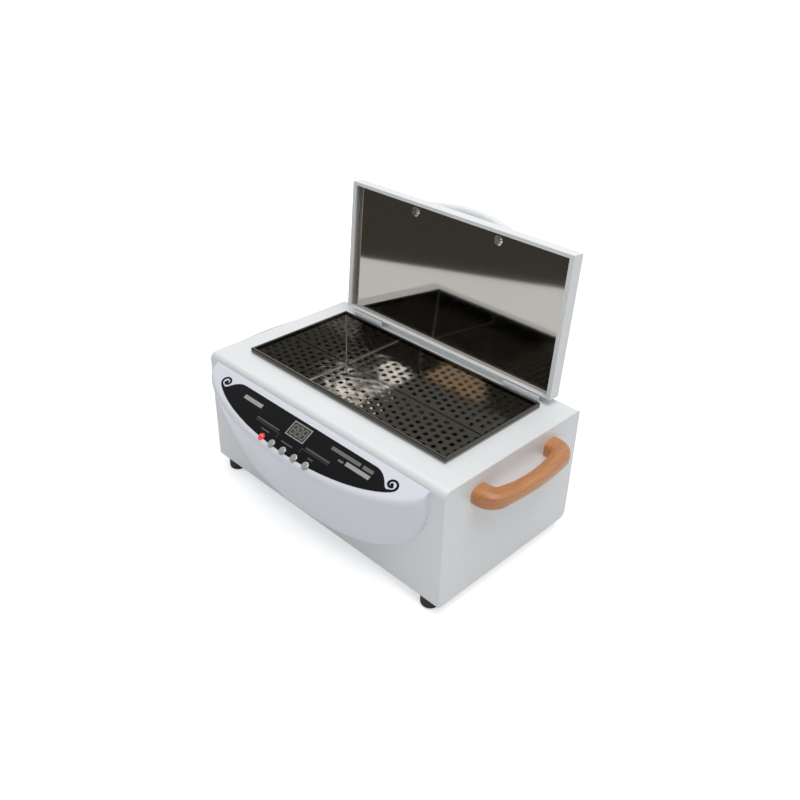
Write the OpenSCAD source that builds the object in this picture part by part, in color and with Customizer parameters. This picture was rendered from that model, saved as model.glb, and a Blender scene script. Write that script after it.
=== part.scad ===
// Dry heat sterilizer: a bench box with a hinged lid, a stainless chamber and a bow-fronted moulding.
// Millimetres, +Z up, front towards -Y, drawn with the lid open as it stands on the bench.

/* [Case] */
// Width of the case over its side panels
case_w = 320; // [300:1:360]
// Depth of the case from front to back
case_d = 183; // [176:1:220]
// Height of the case above its feet
case_h = 123; // [118:1:150]
// Thickness of the case's steel sheet
sheet_t = 1; // [0.8:0.1:1.2]
// Outer bend radius along the front top edge
front_bend_r = 7; // [3:0.5:9]
// Outer bend radius along the back top edge
back_bend_r = 2.5; // [2:0.5:3]
// Outer bend radius along the back bottom edge
heel_bend_r = 7; // [3:0.5:9]
// Outer bend radius along the front bottom edge
toe_bend_r = 1.5; // [1.5:0.5:4]
// Width of the folded flanges under the case
case_flange_w = 19; // [18:1:24]
// Width of the lip folded round each side panel
panel_lip_w = 8; // [7:0.5:10]
// Gap between sheets and parts that are assembled side by side
sheet_gap = 0.2; // [0.1:0.05:0.4]
// Distance of the side panels' screws from the case's top and bottom
panel_screw_inset = 24.5; // [20:0.5:36]

/* [Feet] */
// Height of the rubber feet
foot_h = 12; // [10:1:20]
// Diameter of a foot where it meets the case
foot_d = 18; // [16:1:20]
// Distance from a foot's middle to the case's side
foot_inset_x = 18; // [15:1:30]
// Distance from a foot's middle to the case's front or back
foot_inset_y = 9.5; // [9.5:0.5:12]
// Radius of the rounded lower edge of a foot
foot_round_r = 3; // [2:0.5:4]

/* [Chamber] */
// Distance from the case's side to the chamber
side_space = 30.6; // [28:0.2:40]
// Distance from the case's front to the chamber
front_space = 33; // [32:0.2:42]
// Distance from the case's back to the chamber
back_space = 27.1; // [26:0.1:36]
// Height of the chamber's floor above the case's bottom
under_space = 51; // [50:0.5:56]
// Thickness of the chamber's stainless sheet
tub_t = 0.8; // [0.6:0.1:1]
// Height of the hemmed rim above the case's top
rim_h = 5.8; // [4:0.2:6]
// Gap between the two layers of the hemmed rim
hem_gap = 1.1; // [0.6:0.1:1.5]
// Width of the tub's flange under the case's top
tub_flange_w = 9; // [6:0.5:10]

/* [Tray] */
// Height of the tray's surface above the chamber's floor
tray_h = 13; // [10:0.5:20]
// Thickness of the tray's sheet
tray_t = 0.8; // [0.6:0.1:1]
// Gap between the tray and the chamber's walls
tray_gap = 0.8; // [0.5:0.1:1.5]
// Diameter of the tray's holes
tray_hole_d = 6; // [4:0.25:7]
// Pitch of the tray's staggered holes
tray_pitch = 10.2; // [9:0.1:14]
// Unpunched margin round the tray's holes
tray_margin = 3; // [2:0.5:12]

/* [Heating] */
// Diameter of the heating element's sheath
heater_d = 6.5; // [5:0.5:8]
// Distance from the chamber's front to the heating element's first run
heater_space = 19.45; // [17:0.05:25]
// Distance from the chamber's side to the heating element's bends
heater_end = 34.4; // [30:0.2:50]
// Thickness of the insulation round the chamber
jacket_t = 12; // [8:1:13]
// Gap between the insulation and the sheet it lies on
jacket_gap = 0.3; // [0.2:0.1:1]
// Thickness of the straps under the heating element
strap_t = 1.2; // [1:0.1:2]
// Width of the straps under the heating element
strap_w = 12; // [8:1:20]

/* [Lid] */
// How far the lid reaches beyond the chamber's rim at each side
lid_side_lap = 5.15; // [4:0.05:7]
// How far the lid reaches beyond the chamber's rim at the front
lid_front_lap = 3.9; // [3:0.1:6]
// How far the lid reaches beyond the chamber's rim at the back
lid_back_lap = 5.8; // [5:0.1:6]
// Height of the lid from its free edge to its skin
lid_h = 17.5; // [16:0.5:24]
// Outer radius of the lid's folded edges
lid_round_r = 6; // [3:0.5:7]
// How far the liner lies inside the lid's free edge
liner_inset = 5.5; // [5:0.1:7]
// Height of the liner's folded rim
liner_rim_h = 7; // [4:0.5:8]
// Height of the closed lid's free edge above the case's top
lid_lift = 0.9; // [0.6:0.1:1.5]
// Angle through which the lid opens
lid_open_angle = 94; // [80:0.1:100]

/* [Hinges] */
// Length of a hinge
hinge_len = 42; // [36:1:60]
// Distance from the lid's side to a hinge's middle
hinge_inset = 32.75; // [28:0.25:50]
// Outer radius of a hinge's knuckles
knuckle_r = 3.5; // [3.2:0.1:4.2]
// Radius of a hinge's pin
pin_r = 1.5; // [1.2:0.1:1.8]
// Thickness of a hinge's leaves
leaf_t = 1.2; // [1:0.1:1.5]
// Distance of the leaf on the case from the bend at the case's back
case_leaf_gap = 0.5; // [0.2:0.1:1]
// Length of the leaf on the lid from the hinge's axis
lid_leaf_len = 12.5; // [11:0.5:14]
// Share of a hinge taken by the lid's knuckle
lid_knuckle_share = 0.48; // [0.35:0.01:0.6]
// Running clearance round a hinge's pin
pin_clearance = 0.06; // [0.02:0.01:0.1]
// Gap between neighbouring knuckles
knuckle_gap = 0.3; // [0.2:0.05:0.5]
// Gap between the lid's wall and the knuckles
knuckle_wall_gap = 0.1; // [0.1:0.05:0.3]

/* [Handles] */
// Distance between the legs of a wooden handle
handle_span = 98.5; // [90:0.5:110]
// Reach of a wooden handle's middle line from the side panel
handle_reach = 21; // [20:0.5:40]
// Distance of a wooden handle's middle below the case's top
handle_drop = 20.5; // [17:0.5:38]
// Distance from the case's middle to a wooden handle's middle
handle_y = 0; // [-6:0.5:6]
// Thickness of a wooden handle outwards
handle_t = 14.5; // [11:0.5:16]
// Height of a wooden handle's section
handle_section_h = 12.75; // [11:0.25:14]
// Roundness of a wooden handle's section, where 2 is an ellipse
handle_power = 3; // [2:0.1:4]
// Radius of a wooden handle's elbows along its middle line
handle_elbow_r = 12; // [11:0.5:14]
// Radius of a wooden handle's bowed grip
handle_bow_r = 180; // [170:5:400]
// Extra share by which a wooden handle's section grows towards its ends
handle_swell = 0.36; // [0:0.02:0.4]

/* [Lid handle] */
// Distance between the lid handle's screws
lid_handle_span = 104; // [90:1:120]
// Distance of the lid handle's screws from the lid's front edge
lid_handle_inset = 11.5; // [9:0.5:20]
// Reach of the lid handle's middle line from the lid
lid_handle_reach = 16; // [16:0.5:24]
// Radius of the lid handle's bowed grip
lid_handle_bow_r = 140; // [130:5:300]
// Radius of the lid handle's elbows along its middle line
lid_handle_elbow_r = 9; // [7:0.5:12]
// Radius of the lid handle's round section
lid_handle_r = 5; // [4:0.5:6]
// Forward tilt of the lid handle from the lid's normal
lid_handle_tilt = 25; // [0:1:35]

/* [Control moulding] */
// Sideways offset of the moulding from the case's middle
fascia_x = -1.5; // [-6:0.5:6]
// Distance from the case's side to the moulding's side
fascia_inset = 14.7; // [13:0.1:25]
// Distance of the moulding's straight top edge below the case's top
fascia_drop = 5; // [5:0.5:11]
// Slope of the moulding's control face
facet_slope = 30; // [26:1:34]
// Reach of the control face's ellipse beyond the moulding's sides
facet_extra = 4.2; // [4:0.1:10]
// Depth of the ellipse that bounds the control face, down its slope
facet_b = 46.5; // [44:0.5:52]
// Backward lean of the moulding's front wall
apron_lean = 17; // [12:1:20]
// Height of the moulding's front outline
apron_h = 91; // [80:1:92]
// Exponent of the moulding's front outline
apron_power = 2.7; // [2.2:0.1:3.2]
// Extra half width of the front outline beyond the moulding
apron_extra = 1.2; // [0.8:0.1:2]
// Wall thickness of the moulding
fascia_t = 2.4; // [2:0.1:3]
// Radius of the moulding's front edge
facet_edge_r = 6.5; // [4:0.5:8]
// Radius inside the moulding's front edge
facet_inner_r = 1; // [0.5:0.5:2]
// Radius of the moulding's lower edge
apron_edge_r = 1.5; // [1:0.5:2]
// Radius of the moulding's corners beside the case
fascia_corner_r = 4; // [2:0.5:5]

/* [Label] */
// Distance between the label's and the control face's ellipses at their ends
label_end_gap = 17.9; // [16:0.1:21]
// Depth of the ellipse that bounds the label, down the slope
label_b = 40.7; // [39:0.1:42]
// Distance of the label's straight edge from the moulding's top edge
label_top = 6.2; // [5:0.1:7]
// Distance from the middle of a scroll to the label's straight edge
label_shoulder = 24.2; // [20:0.1:30]
// Distance from the middle of a scroll to the end of the label's ellipse
scroll_inset = 17.4; // [16:0.1:19]
// Distance of the scrolls' middles from the moulding's top edge
scroll_u = 12.3; // [11.5:0.1:13]
// Outer radius of a scroll where it leaves the label's tip
scroll_r = 6.9; // [6.2:0.1:7]
// Thickness of the label
label_t = 0.4; // [0.2:0.1:0.6]

/* [Controls] */
// Sideways offset of the label and controls from the moulding's middle
control_x = -0.9; // [-3:0.1:3]
// Width of the display's frame
display_w = 24.4; // [24:0.1:28]
// Height of the display's frame
display_h = 15.1; // [15:0.1:18]
// Width of the display frame's border
display_border = 0.8; // [0.5:0.1:1]
// Distance of the display's middle from the moulding's top edge
display_u = 16.9; // [16:0.1:18]
// Height of the display's frame above the control face
display_rise = 0.7; // [0.5:0.1:1]
// Pitch of the row of buttons
button_pitch = 15.7; // [14:0.1:17]
// Radius of a button
button_r = 3.6; // [3:0.1:3.8]
// Distance of the buttons' middles from the moulding's top edge
button_u = 39; // [38:0.1:39.4]
// Height of a button above the control face
button_rise = 1.9; // [1.6:0.1:2.4]
// Travel of a button
button_travel = 1; // [0.6:0.1:1.1]
// Clearance round a button in its hole
button_clearance = 0.15; // [0.1:0.05:0.3]
// Radius of the red lamp
lamp_r = 3.5; // [3:0.1:3.8]
// Height of the red lamp above the control face
lamp_rise = 2.4; // [1.8:0.1:3]
// Depth of the control board's face under the control face
board_depth = 11; // [10.5:0.1:12]
// Width of the control board
board_w = 104; // [98:1:120]
// Height of the control board along the slope
board_h = 33; // [32.5:0.5:34]
// Thickness of the circuit boards
board_t = 1.6; // [1.2:0.2:2]

/* [Mains side] */
// Distance from the case's middle to the mains inlet
inlet_x = -98; // [-110:1:-60]
// Gap between the insulation and the mains inlet below it
inlet_drop = 2; // [1:0.5:6]
// Width of the power board
power_board_w = 100; // [90:1:120]
// Depth of the power board
power_board_d = 56; // [50:1:70]
// Distance from the case's middle to the power board's middle
power_board_x = -60; // [-70:1:-40]
// Height of the standoffs under the power board
standoff_h = 4; // [3:0.5:5]

/* [Hidden] */

$fn = 48;
cut = 1;
white = "#e9ebea";
steel = "#8d8a84";
screw_steel = "#b5b5b3";
board_green = "#2f6b43";

// Case levels, with z measured from the bench
case_top_z = foot_h + case_h;
half_w = case_w / 2;
half_d = case_d / 2;
handle_z = case_h - handle_drop;
fascia_top = case_h - fascia_drop;
panel_screw_rise = case_h / 2 - panel_screw_inset;
inner_half_w = half_w - sheet_t;
front_y = -half_d;
back_y = half_d;

// Chamber, from the spaces that the case leaves round it
tub_w = case_w - 2 * side_space;
tub_d = case_d - front_space - back_space;
tub_h = case_h + rim_h - under_space;
tub_y = (front_space - back_space) / 2;
rim_z = case_top_z + rim_h;
tub_floor_z = rim_z - tub_h;
tub_bottom_z = tub_floor_z - tub_t;
rim_t = 2 * tub_t + hem_gap;
collar_w = tub_w + 2 * rim_t;
collar_d = tub_d + 2 * rim_t;
tray_z = tub_floor_z + tray_h;
heater_gap = 0.2;
heater_z = tub_bottom_z - heater_gap - heater_d / 2;
strap_z = tub_bottom_z - 2 * heater_gap - heater_d - strap_t;
jacket_floor_z = strap_z - jacket_gap;

// Hinge axis and the closed lid, whose free edge clears the case's top
knuckle_half = hinge_len * lid_knuckle_share / 2;
hinge_axis_z = case_top_z + knuckle_r;
lid_edge_z = case_top_z + lid_lift;
lid_skin_z = lid_edge_z + lid_h;
lid_w = collar_w + 2 * lid_side_lap;
lid_d = collar_d + lid_front_lap + lid_back_lap;
lid_back_y = tub_y + collar_d / 2 + lid_back_lap;
lid_front_y = lid_back_y - lid_d;
lid_middle_y = (lid_front_y + lid_back_y) / 2;
hinge_axis_y = lid_back_y + knuckle_wall_gap + knuckle_r;
hinge_x = lid_w / 2 - hinge_inset;
case_leaf_len = half_d - back_bend_r - case_leaf_gap - hinge_axis_y;
liner_z = lid_edge_z + liner_inset;
lid_handle_y = lid_front_y + lid_handle_inset;

// Common screws, as shank and head radii and head height
m3_r = 1.5;
m4_r = 2;
hole_gap = 0.2;
head_h = 1.8;

// The frame's origin lies under the middle of the whole part
edge_turn = 90 - facet_slope + apron_lean;
edge_bulge = facet_edge_r * (cos((facet_slope + apron_lean - 90) / 2) / cos(edge_turn / 2) - 1);
facet_front = facet_b * cos(facet_slope) - edge_bulge;
lid_handle_arm = hinge_axis_y - lid_handle_y + lid_handle_reach * sin(lid_handle_tilt);
open_back_y = hinge_axis_y - lid_handle_arm * cos(lid_open_angle)
    + (lid_skin_z - hinge_axis_z + lid_handle_reach * cos(lid_handle_tilt)) * sin(lid_open_angle) + lid_handle_r;
frame_y = -(front_y - facet_front + open_back_y) / 2;

// Moves a piece from the case's own middle to the part's frame
module placed() {
    translate([0, frame_y, 0])
        children();
}

// Swings a piece drawn on the closed lid to the open lid's place
module opened() {
    placed()
        translate([0, hinge_axis_y, hinge_axis_z])
            rotate([-lid_open_angle, 0, 0])
                translate([0, -hinge_axis_y, -hinge_axis_z])
                    children();
}

// Puts a piece on the control face, with -y down its slope and z out of it
module on_facet() {
    placed()
        translate([fascia_x, front_y, foot_h + fascia_top])
            rotate([facet_slope, 0, 0])
                children();
}

// Draws a shape given in y and z out along x, about the middle
module along_x(length) {
    rotate([90, 0, 90])
        translate([0, 0, -length / 2])
            linear_extrude(length)
                children();
}

// Draws a shape given in x and z out along y, about the middle
module along_y(length) {
    rotate([90, 0, 0])
        translate([0, 0, -length / 2])
            linear_extrude(length)
                children();
}

// What a rounding of radius r takes off a square corner at the origin
module corner_waste(r) {
    difference() {
        translate([-cut, -cut])
            square(r + cut);
        translate([r, r])
            circle(r);
    }
}

module rounded_square(w, h, r) {
    union() {
        square([w - 2 * r, h], center = true);
        square([w, h - 2 * r], center = true);
        for (x = [-1, 1], y = [-1, 1])
            translate([x * (w / 2 - r), y * (h / 2 - r)])
                circle(r);
    }
}

// Block with a flat bottom whose four top edges are rounded and mitred at the corners
module crowned_block(w, d, low, high, r) {
    intersection() {
        along_y(d)
            crown(w, low, high, r);
        along_x(w)
            crown(d, low, high, r);
    }
}

module crown(w, low, high, r) {
    difference() {
        translate([-w / 2, low])
            square([w, high - low]);
        for (side = [0, 1])
            mirror([side, 0])
                translate([w / 2, high])
                    rotate(180)
                        corner_waste(r);
    }
}

// Straight hole whose mouth widens in a quarter round of radius r at the height high
module flared_block(w, d, low, high, r) {
    intersection() {
        along_y(d + 2 * r)
            flare(w, low, high, r);
        along_x(w + 2 * r)
            flare(d, low, high, r);
    }
}

module flare(w, low, high, r) {
    translate([-w / 2, low])
        square([w, high - low + cut]);
    difference() {
        translate([-w / 2 - r, high - r])
            square([w + 2 * r, r + cut]);
        for (side = [-1, 1])
            translate([side * (w / 2 + r), high - r])
                circle(r);
    }
}

module block(w, d, low, high) {
    translate([-w / 2, -d / 2, low])
        cube([w, d, high - low]);
}

module screw(shank_r, length, head_r, head = head_h) {
    union() {
        translate([0, 0, -length])
            cylinder(r = shank_r, h = length);
        cylinder(r = head_r, h = head);
    }
}

// Flat-headed screw whose cone seats in a countersink, with its face at z = 0
module countersunk_screw(shank_r, length, head_r) {
    union() {
        translate([0, 0, -length])
            cylinder(r = shank_r, h = length);
        translate([0, 0, shank_r - head_r])
            cylinder(r1 = shank_r, r2 = head_r, h = head_r - shank_r);
    }
}

module countersink(shank_r, depth, head_r) {
    translate([0, 0, -depth])
        cylinder(r = shank_r + hole_gap, h = depth + cut);
    translate([0, 0, shank_r - head_r])
        cylinder(r1 = shank_r + hole_gap, r2 = head_r + hole_gap, h = head_r - shank_r);
    cylinder(r = head_r + hole_gap, h = cut);
}

// CASE

// Outline of the case seen from its side, drawn in by inset
module case_outline(inset) {
    low = foot_h + inset;
    high = case_top_z - inset;
    reach = half_d - inset;
    difference() {
        translate([-reach, low])
            square([2 * reach, high - low]);
        translate([-reach, low])
            corner_waste(max(toe_bend_r - inset, 0.2));
        translate([reach, low])
            rotate(90)
                corner_waste(max(heel_bend_r - inset, 0.2));
        translate([reach, high])
            rotate(180)
                corner_waste(max(back_bend_r - inset, 0.2));
        translate([-reach, high])
            rotate(270)
                corner_waste(max(front_bend_r - inset, 0.2));
    }
}

foot_x = half_w - foot_inset_x;
foot_y = half_d - foot_inset_y;
foot_places = [[-foot_x, -foot_y], [foot_x, -foot_y], [-foot_x, foot_y], [foot_x, foot_y]];

module foot_holes() {
    for (place = foot_places)
        translate([place[0], place[1], foot_h - cut])
            cylinder(r = m4_r + hole_gap, h = 3 * sheet_t + 2 * cut);
}

panel_screw_x = inner_half_w - panel_lip_w / 2;
panel_screw_z = foot_h + case_h / 2;

// Sends its child to the screws on the case's back, with z out of the back
module at_panel_screws(sides = [-1, 1]) {
    for (x = sides, z = [-1, 1])
        translate([x * panel_screw_x, back_y, panel_screw_z + z * panel_screw_rise])
            rotate([-90, 0, 0])
                children();
}

tub_hole_gap = 0.3;
wiring_w = 70;
wiring_h = 16;
wiring_drop = 26;
inlet_w = 28;
inlet_h = 20.5;
inlet_z = jacket_floor_z - jacket_t - inlet_drop - inlet_h / 2 - foot_h;
inlet_screw_pitch = 40;
inlet_tub_depth = 24;
vent_slots = 9;
vent_pitch = 9;
vent_w = 3;
vent_len = 40;
vent_x = 60;
vent_y = -22;

module outer_case() {
    color(white)
        placed()
            difference() {
                along_x(2 * inner_half_w)
                    difference() {
                        case_outline(0);
                        case_outline(sheet_t);
                        translate([-half_d + case_flange_w, foot_h - cut])
                            square([case_d - 2 * case_flange_w, sheet_t + 2 * cut]);
                    }
                translate([0, tub_y, 0])
                    block(collar_w + 2 * tub_hole_gap, collar_d + 2 * tub_hole_gap, case_top_z - 2 * sheet_t, case_top_z + cut);
                translate([fascia_x, front_y, foot_h + fascia_top - wiring_drop])
                    cube([wiring_w, 4 * sheet_t, wiring_h], center = true);
                at_fascia_screws()
                    cylinder(r = m3_r + hole_gap, h = 4 * sheet_t, center = true);
                at_panel_screws()
                    cylinder(r = m3_r + hole_gap, h = 4 * sheet_t, center = true);
                translate([inlet_x, back_y, foot_h + inlet_z])
                    cube([inlet_w, 4 * sheet_t, inlet_h], center = true);
                at_inlet_screws()
                    cylinder(r = m3_r + hole_gap, h = 4 * sheet_t, center = true);
                at_hinge_case_screws()
                    cylinder(r = m3_r + hole_gap, h = 4 * sheet_t, center = true);
                foot_holes();
            }
}

// Side panel on the +x side: a plate with a lip folded in all round
module side_panel() {
    difference() {
        union() {
            translate([half_w - sheet_t / 2, 0, 0])
                along_x(sheet_t)
                    case_outline(0);
            translate([inner_half_w - panel_lip_w / 2, 0, 0])
                along_x(panel_lip_w)
                    difference() {
                        case_outline(sheet_t);
                        case_outline(2 * sheet_t);
                    }
        }
        at_handle_screws()
            cylinder(r = m4_r + hole_gap, h = 6 * sheet_t, center = true);
        at_panel_screws([1])
            cylinder(r = m3_r - hole_gap, h = 6 * sheet_t, center = true);
    }
}

module right_side_panel() {
    color(white)
        placed()
            side_panel();
}

module left_side_panel() {
    color(white)
        placed()
            mirror([1, 0, 0])
                side_panel();
}

base_half_w = inner_half_w - panel_lip_w - sheet_gap;
base_half_d = half_d - sheet_t - max(heel_bend_r - sheet_t, toe_bend_r);
base_z = foot_h + sheet_t;
base_top_z = base_z + sheet_t;

module base_plate() {
    color("#c9cbca")
        placed()
            difference() {
                block(2 * base_half_w, 2 * base_half_d, base_z, base_top_z);
                foot_holes();
                for (side = [-1, 1], n = [0 : vent_slots - 1])
                    translate([side * vent_x + (n - (vent_slots - 1) / 2) * vent_pitch, vent_y, base_z])
                        cube([vent_w, vent_len, 4 * sheet_t], center = true);
                at_power_board_corners()
                    cylinder(r = m3_r + hole_gap, h = 6 * sheet_t, center = true);
            }
}

module panel_screws() {
    color(screw_steel)
        placed()
            at_panel_screws()
                screw(m3_r - 2 * hole_gap, 6, 2.8);
}

// FEET

foot_recess_r = 3.9;
foot_recess_h = 6;
foot_shank = 13;
foot_nut_h = 3;

// Rubber foot under its screw, rounded below
module foot(place) {
    color("#1d1d1f")
        placed()
            translate([place[0], place[1], 0])
                rotate_extrude()
                    difference() {
                        square([foot_d / 2, foot_h]);
                        translate([foot_d / 2, 0])
                            rotate(90)
                                corner_waste(foot_round_r);
                        translate([-cut, -cut])
                            square([foot_recess_r + cut, foot_recess_h + cut]);
                        translate([-cut, 0])
                            square([m4_r + hole_gap + cut, foot_h + cut]);
                    }
}

module foot_screws() {
    color(screw_steel)
        placed()
            for (place = foot_places)
                translate([place[0], place[1], foot_recess_h])
                    rotate([180, 0, 0])
                        screw(m4_r, foot_h - foot_recess_h + 3 * sheet_t + foot_nut_h, 3.6, 2.4);
}

module foot_nuts() {
    color(screw_steel)
        placed()
            for (place = foot_places)
                translate([place[0], place[1], base_top_z])
                    difference() {
                        cylinder(r = 4, h = foot_nut_h, $fn = 6);
                        translate([0, 0, -cut])
                            cylinder(r = m4_r + 0.05, h = foot_nut_h + 2 * cut);
                    }
}

// CHAMBER

// Tub of one sheet, whose wall turns over in a hem, comes down outside and ends in a flange
module chamber_tub() {
    flange_z = case_top_z - sheet_t;
    color(steel)
        placed()
            translate([0, tub_y, 0])
                difference() {
                    union() {
                        block(tub_w + 2 * tub_t, tub_d + 2 * tub_t, tub_bottom_z, rim_z - rim_t / 2);
                        crowned_block(collar_w, collar_d, flange_z - tub_t, rim_z, rim_t / 2);
                        block(collar_w + 2 * tub_flange_w, collar_d + 2 * tub_flange_w, flange_z - tub_t, flange_z);
                    }
                    flared_block(tub_w, tub_d, tub_floor_z, rim_z, rim_t / 2);
                    difference() {
                        block(tub_w + 2 * tub_t + 2 * hem_gap, tub_d + 2 * tub_t + 2 * hem_gap,
                            flange_z - tub_t - cut, rim_z - rim_t / 2);
                        block(tub_w + 2 * tub_t, tub_d + 2 * tub_t, flange_z - 3 * cut, rim_z);
                    }
                }
}

tray_w = tub_w - 2 * tray_gap;
tray_d = tub_d - 2 * tray_gap;
tray_columns = floor((tray_w - 2 * tray_margin - tray_hole_d) / tray_pitch);
tray_rows = floor((tray_d - 2 * tray_margin - tray_hole_d) / tray_pitch - 0.5);

// Tray of one perforated sheet with its edges folded down to stand on the chamber's floor
module perforated_tray() {
    color("#6f6a60")
        placed()
            translate([0, tub_y, 0]) {
                difference() {
                    block(tray_w, tray_d, tub_floor_z, tray_z);
                    block(tray_w - 2 * tray_t, tray_d - 2 * tray_t, tub_floor_z - cut, tray_z - tray_t);
                    tray_holes();
                }
            }
}

// Staggered holes: every other column starts half a pitch further back
module tray_holes() {
    for (column = [0 : tray_columns])
        for (row = [0 : tray_rows])
            translate([
                (column - tray_columns / 2) * tray_pitch,
                (row - tray_rows / 2 + (column % 2 == 0 ? -0.25 : 0.25)) * tray_pitch,
                tray_z - 2 * tray_t
            ])
                cylinder(d = tray_hole_d, h = 4 * tray_t, $fn = 20);
}

// HEATING

heater_runs = [-1.5, -0.5, 0.5, 1.5];
heater_side_gap = 6;
heater_run = tub_w - 2 * heater_end;
heater_pitch = (tub_d - 2 * heater_space) / 3;
heater_tail = side_space - heater_side_gap + heater_end;

// Sheathed element: four runs joined by three bends, with two cold ends towards the left
module heating_element() {
    color("#5b5650")
        placed()
            translate([0, tub_y, heater_z]) {
                for (run = heater_runs)
                    translate([-heater_run / 2, run * heater_pitch, 0])
                        rotate([0, 90, 0])
                            cylinder(d = heater_d, h = heater_run);
                for (run = [heater_runs[0], heater_runs[3]])
                    translate([-heater_run / 2 - heater_tail, run * heater_pitch, 0])
                        rotate([0, 90, 0])
                            cylinder(d = heater_d, h = heater_tail);
                for (pair = [-1, 1])
                    translate([heater_run / 2, pair * heater_pitch, 0])
                        rotate([0, 0, -90])
                            heater_bend();
                translate([-heater_run / 2, 0, 0])
                    rotate([0, 0, 90])
                        heater_bend();
            }
}

module heater_bend() {
    rotate_extrude(angle = 180)
        translate([heater_pitch / 2, 0])
            circle(d = heater_d);
}

// Straps under the runs, with legs that stand against the tub's floor and feet welded to it
module heater_straps() {
    half = heater_runs[3] * heater_pitch + heater_d / 2 + 1;
    foot = 8;
    color(steel)
        placed()
            translate([0, tub_y, 0])
                for (x = [-1, 0, 1])
                    translate([x * heater_run * 0.4, 0, 0])
                        along_x(strap_w)
                            difference() {
                                translate([-half - foot, strap_z])
                                    square([2 * (half + foot), tub_bottom_z - strap_z]);
                                translate([-half, strap_z + strap_t])
                                    square([2 * half, tub_bottom_z - strap_z]);
                                for (side = [0, 1])
                                    mirror([side, 0])
                                        translate([half + strap_t, strap_z - cut])
                                            square([foot, tub_bottom_z - strap_z - strap_t + cut]);
                            }
}

jacket_in_w = tub_w + 2 * tub_t + 2 * jacket_gap;
jacket_in_d = tub_d + 2 * tub_t + 2 * jacket_gap;
jacket_top_z = case_top_z - sheet_t - tub_t - jacket_gap;
probe_r = 2.5;
probe_len = 34;
probe_x = 40;
probe_z = tray_z + 8;
cutout_r = 8.2;
cutout_t = 9;
cutout_z = tray_z + 18;

// Fibre insulation round the tub, with pockets for the probe, cut-out and element
module insulation_jacket() {
    color("#d8d2c4")
        placed()
            translate([0, tub_y, 0])
                difference() {
                    block(jacket_in_w + 2 * jacket_t, jacket_in_d + 2 * jacket_t, jacket_floor_z - jacket_t, jacket_top_z);
                    block(jacket_in_w, jacket_in_d, jacket_floor_z, jacket_top_z + cut);
                    for (run = [heater_runs[0], heater_runs[3]])
                        translate([-jacket_in_w / 2 - jacket_t - cut, run * heater_pitch, heater_z])
                            rotate([0, 90, 0])
                                cylinder(r = heater_d / 2 + 1, h = jacket_t + 2 * cut);
                    translate([probe_x - 5, jacket_in_d / 2 - cut, probe_z - 5])
                        cube([probe_len + 10, jacket_t + 2 * cut, 10]);
                    translate([-jacket_in_w / 2 - jacket_t - cut, 0, cutout_z])
                        rotate([0, 90, 0])
                            cylinder(r = cutout_r + 4, h = jacket_t + 2 * cut);
                }
}

// Probe capsule lying along the tub's back wall in a clip
module temperature_probe() {
    color(steel)
        placed()
            translate([probe_x, tub_y + tub_d / 2 + tub_t, probe_z])
                union() {
                    translate([0, probe_r + 0.6, 0])
                        rotate([0, 90, 0])
                            cylinder(r = probe_r, h = probe_len);
                    translate([probe_len / 2 - 4, 0, -4])
                        cube([8, 1.2, 8]);
                }
}

// Disc thermostat on the tub's left wall, with its two blades
module thermal_cutout() {
    color("#3a3a3c")
        placed()
            translate([-tub_w / 2 - tub_t, tub_y, cutout_z])
                rotate([0, -90, 0])
                    union() {
                        cylinder(r = cutout_r, h = cutout_t);
                        cylinder(r = cutout_r + 3, h = 1);
                        for (side = [-1, 1])
                            translate([-3, side * 4 - 0.4, cutout_t])
                                cube([6, 0.8, 7]);
                    }
}

// CONTROL MOULDING

// Points of a fillet of radius r at a convex corner whose outward normals turn from a to b
function fillet(corner, a, b, r, steps) =
    let (centre = corner - r / cos((b - a) / 2) * [cos((a + b) / 2), sin((a + b) / 2)])
        [for (k = [0 : steps]) centre + r * [cos(a + (b - a) * k / steps), sin(a + (b - a) * k / steps)]];

fascia_half = half_w - fascia_inset;
facet_a = fascia_half + facet_extra;
facet_inset_rate = tan(edge_turn / 2) + tan(facet_slope);

// Length of the control face down its slope at x, for a skin drawn in by inset
function facet_reach(x, inset) =
    let (
        half = fascia_half - inset,
        into_corner = max(0, abs(x) - half + fascia_corner_r),
        corner_loss = fascia_corner_r - sqrt(max(0, pow(fascia_corner_r, 2) - pow(into_corner, 2)))
    )
    (facet_b - facet_inset_rate * inset) * sqrt(1 - pow(x / (facet_a - inset), 2)) - corner_loss;

// Height of the moulding's lower edge below its top edge at x
function apron_drop(x, inset) =
    (apron_h - inset) * pow(1 - pow(abs(x) / (fascia_half + apron_extra - inset), apron_power), 1 / apron_power);

// Section of the moulding at x, with y = 0 on the case's front and z = 0 at the top edge
function fascia_section(x, inset, back) =
    let (
        top = -inset / cos(facet_slope),
        reach = facet_reach(x, inset),
        edge = [-reach * cos(facet_slope), top - reach * sin(facet_slope)],
        low = -apron_drop(x, inset),
        lip = [min(edge[0] + (edge[1] - low) * tan(apron_lean), -0.5), low],
        edge_r = inset == 0 ? min(facet_edge_r, 0.6 * reach) : facet_inner_r,
        facet_normal = 90 + facet_slope,
        apron_normal = 180 + apron_lean
    )
    concat(
        [[back, top + back * tan(facet_slope)]],
        fillet(edge, facet_normal, apron_normal, edge_r, 6),
        fillet(lip, apron_normal, 270, inset == 0 ? min(apron_edge_r, -lip[0]) : 0.3, 3),
        [[back, low]]
    );

// Skin through the sections, which lie closer together towards the ends
module fascia_loft(inset, back) {
    slices = 48;
    xs = [for (n = [0 : slices]) (fascia_half - inset) * sin(90 - 180 * n / slices)];
    rings = [for (x = xs) [for (p = fascia_section(x, inset, back)) [x, p[0], p[1]]]];
    points = [for (ring = rings) for (p = ring) p];
    polyhedron(points, tube_faces(slices + 1, len(rings[0])), convexity = 6);
}

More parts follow.
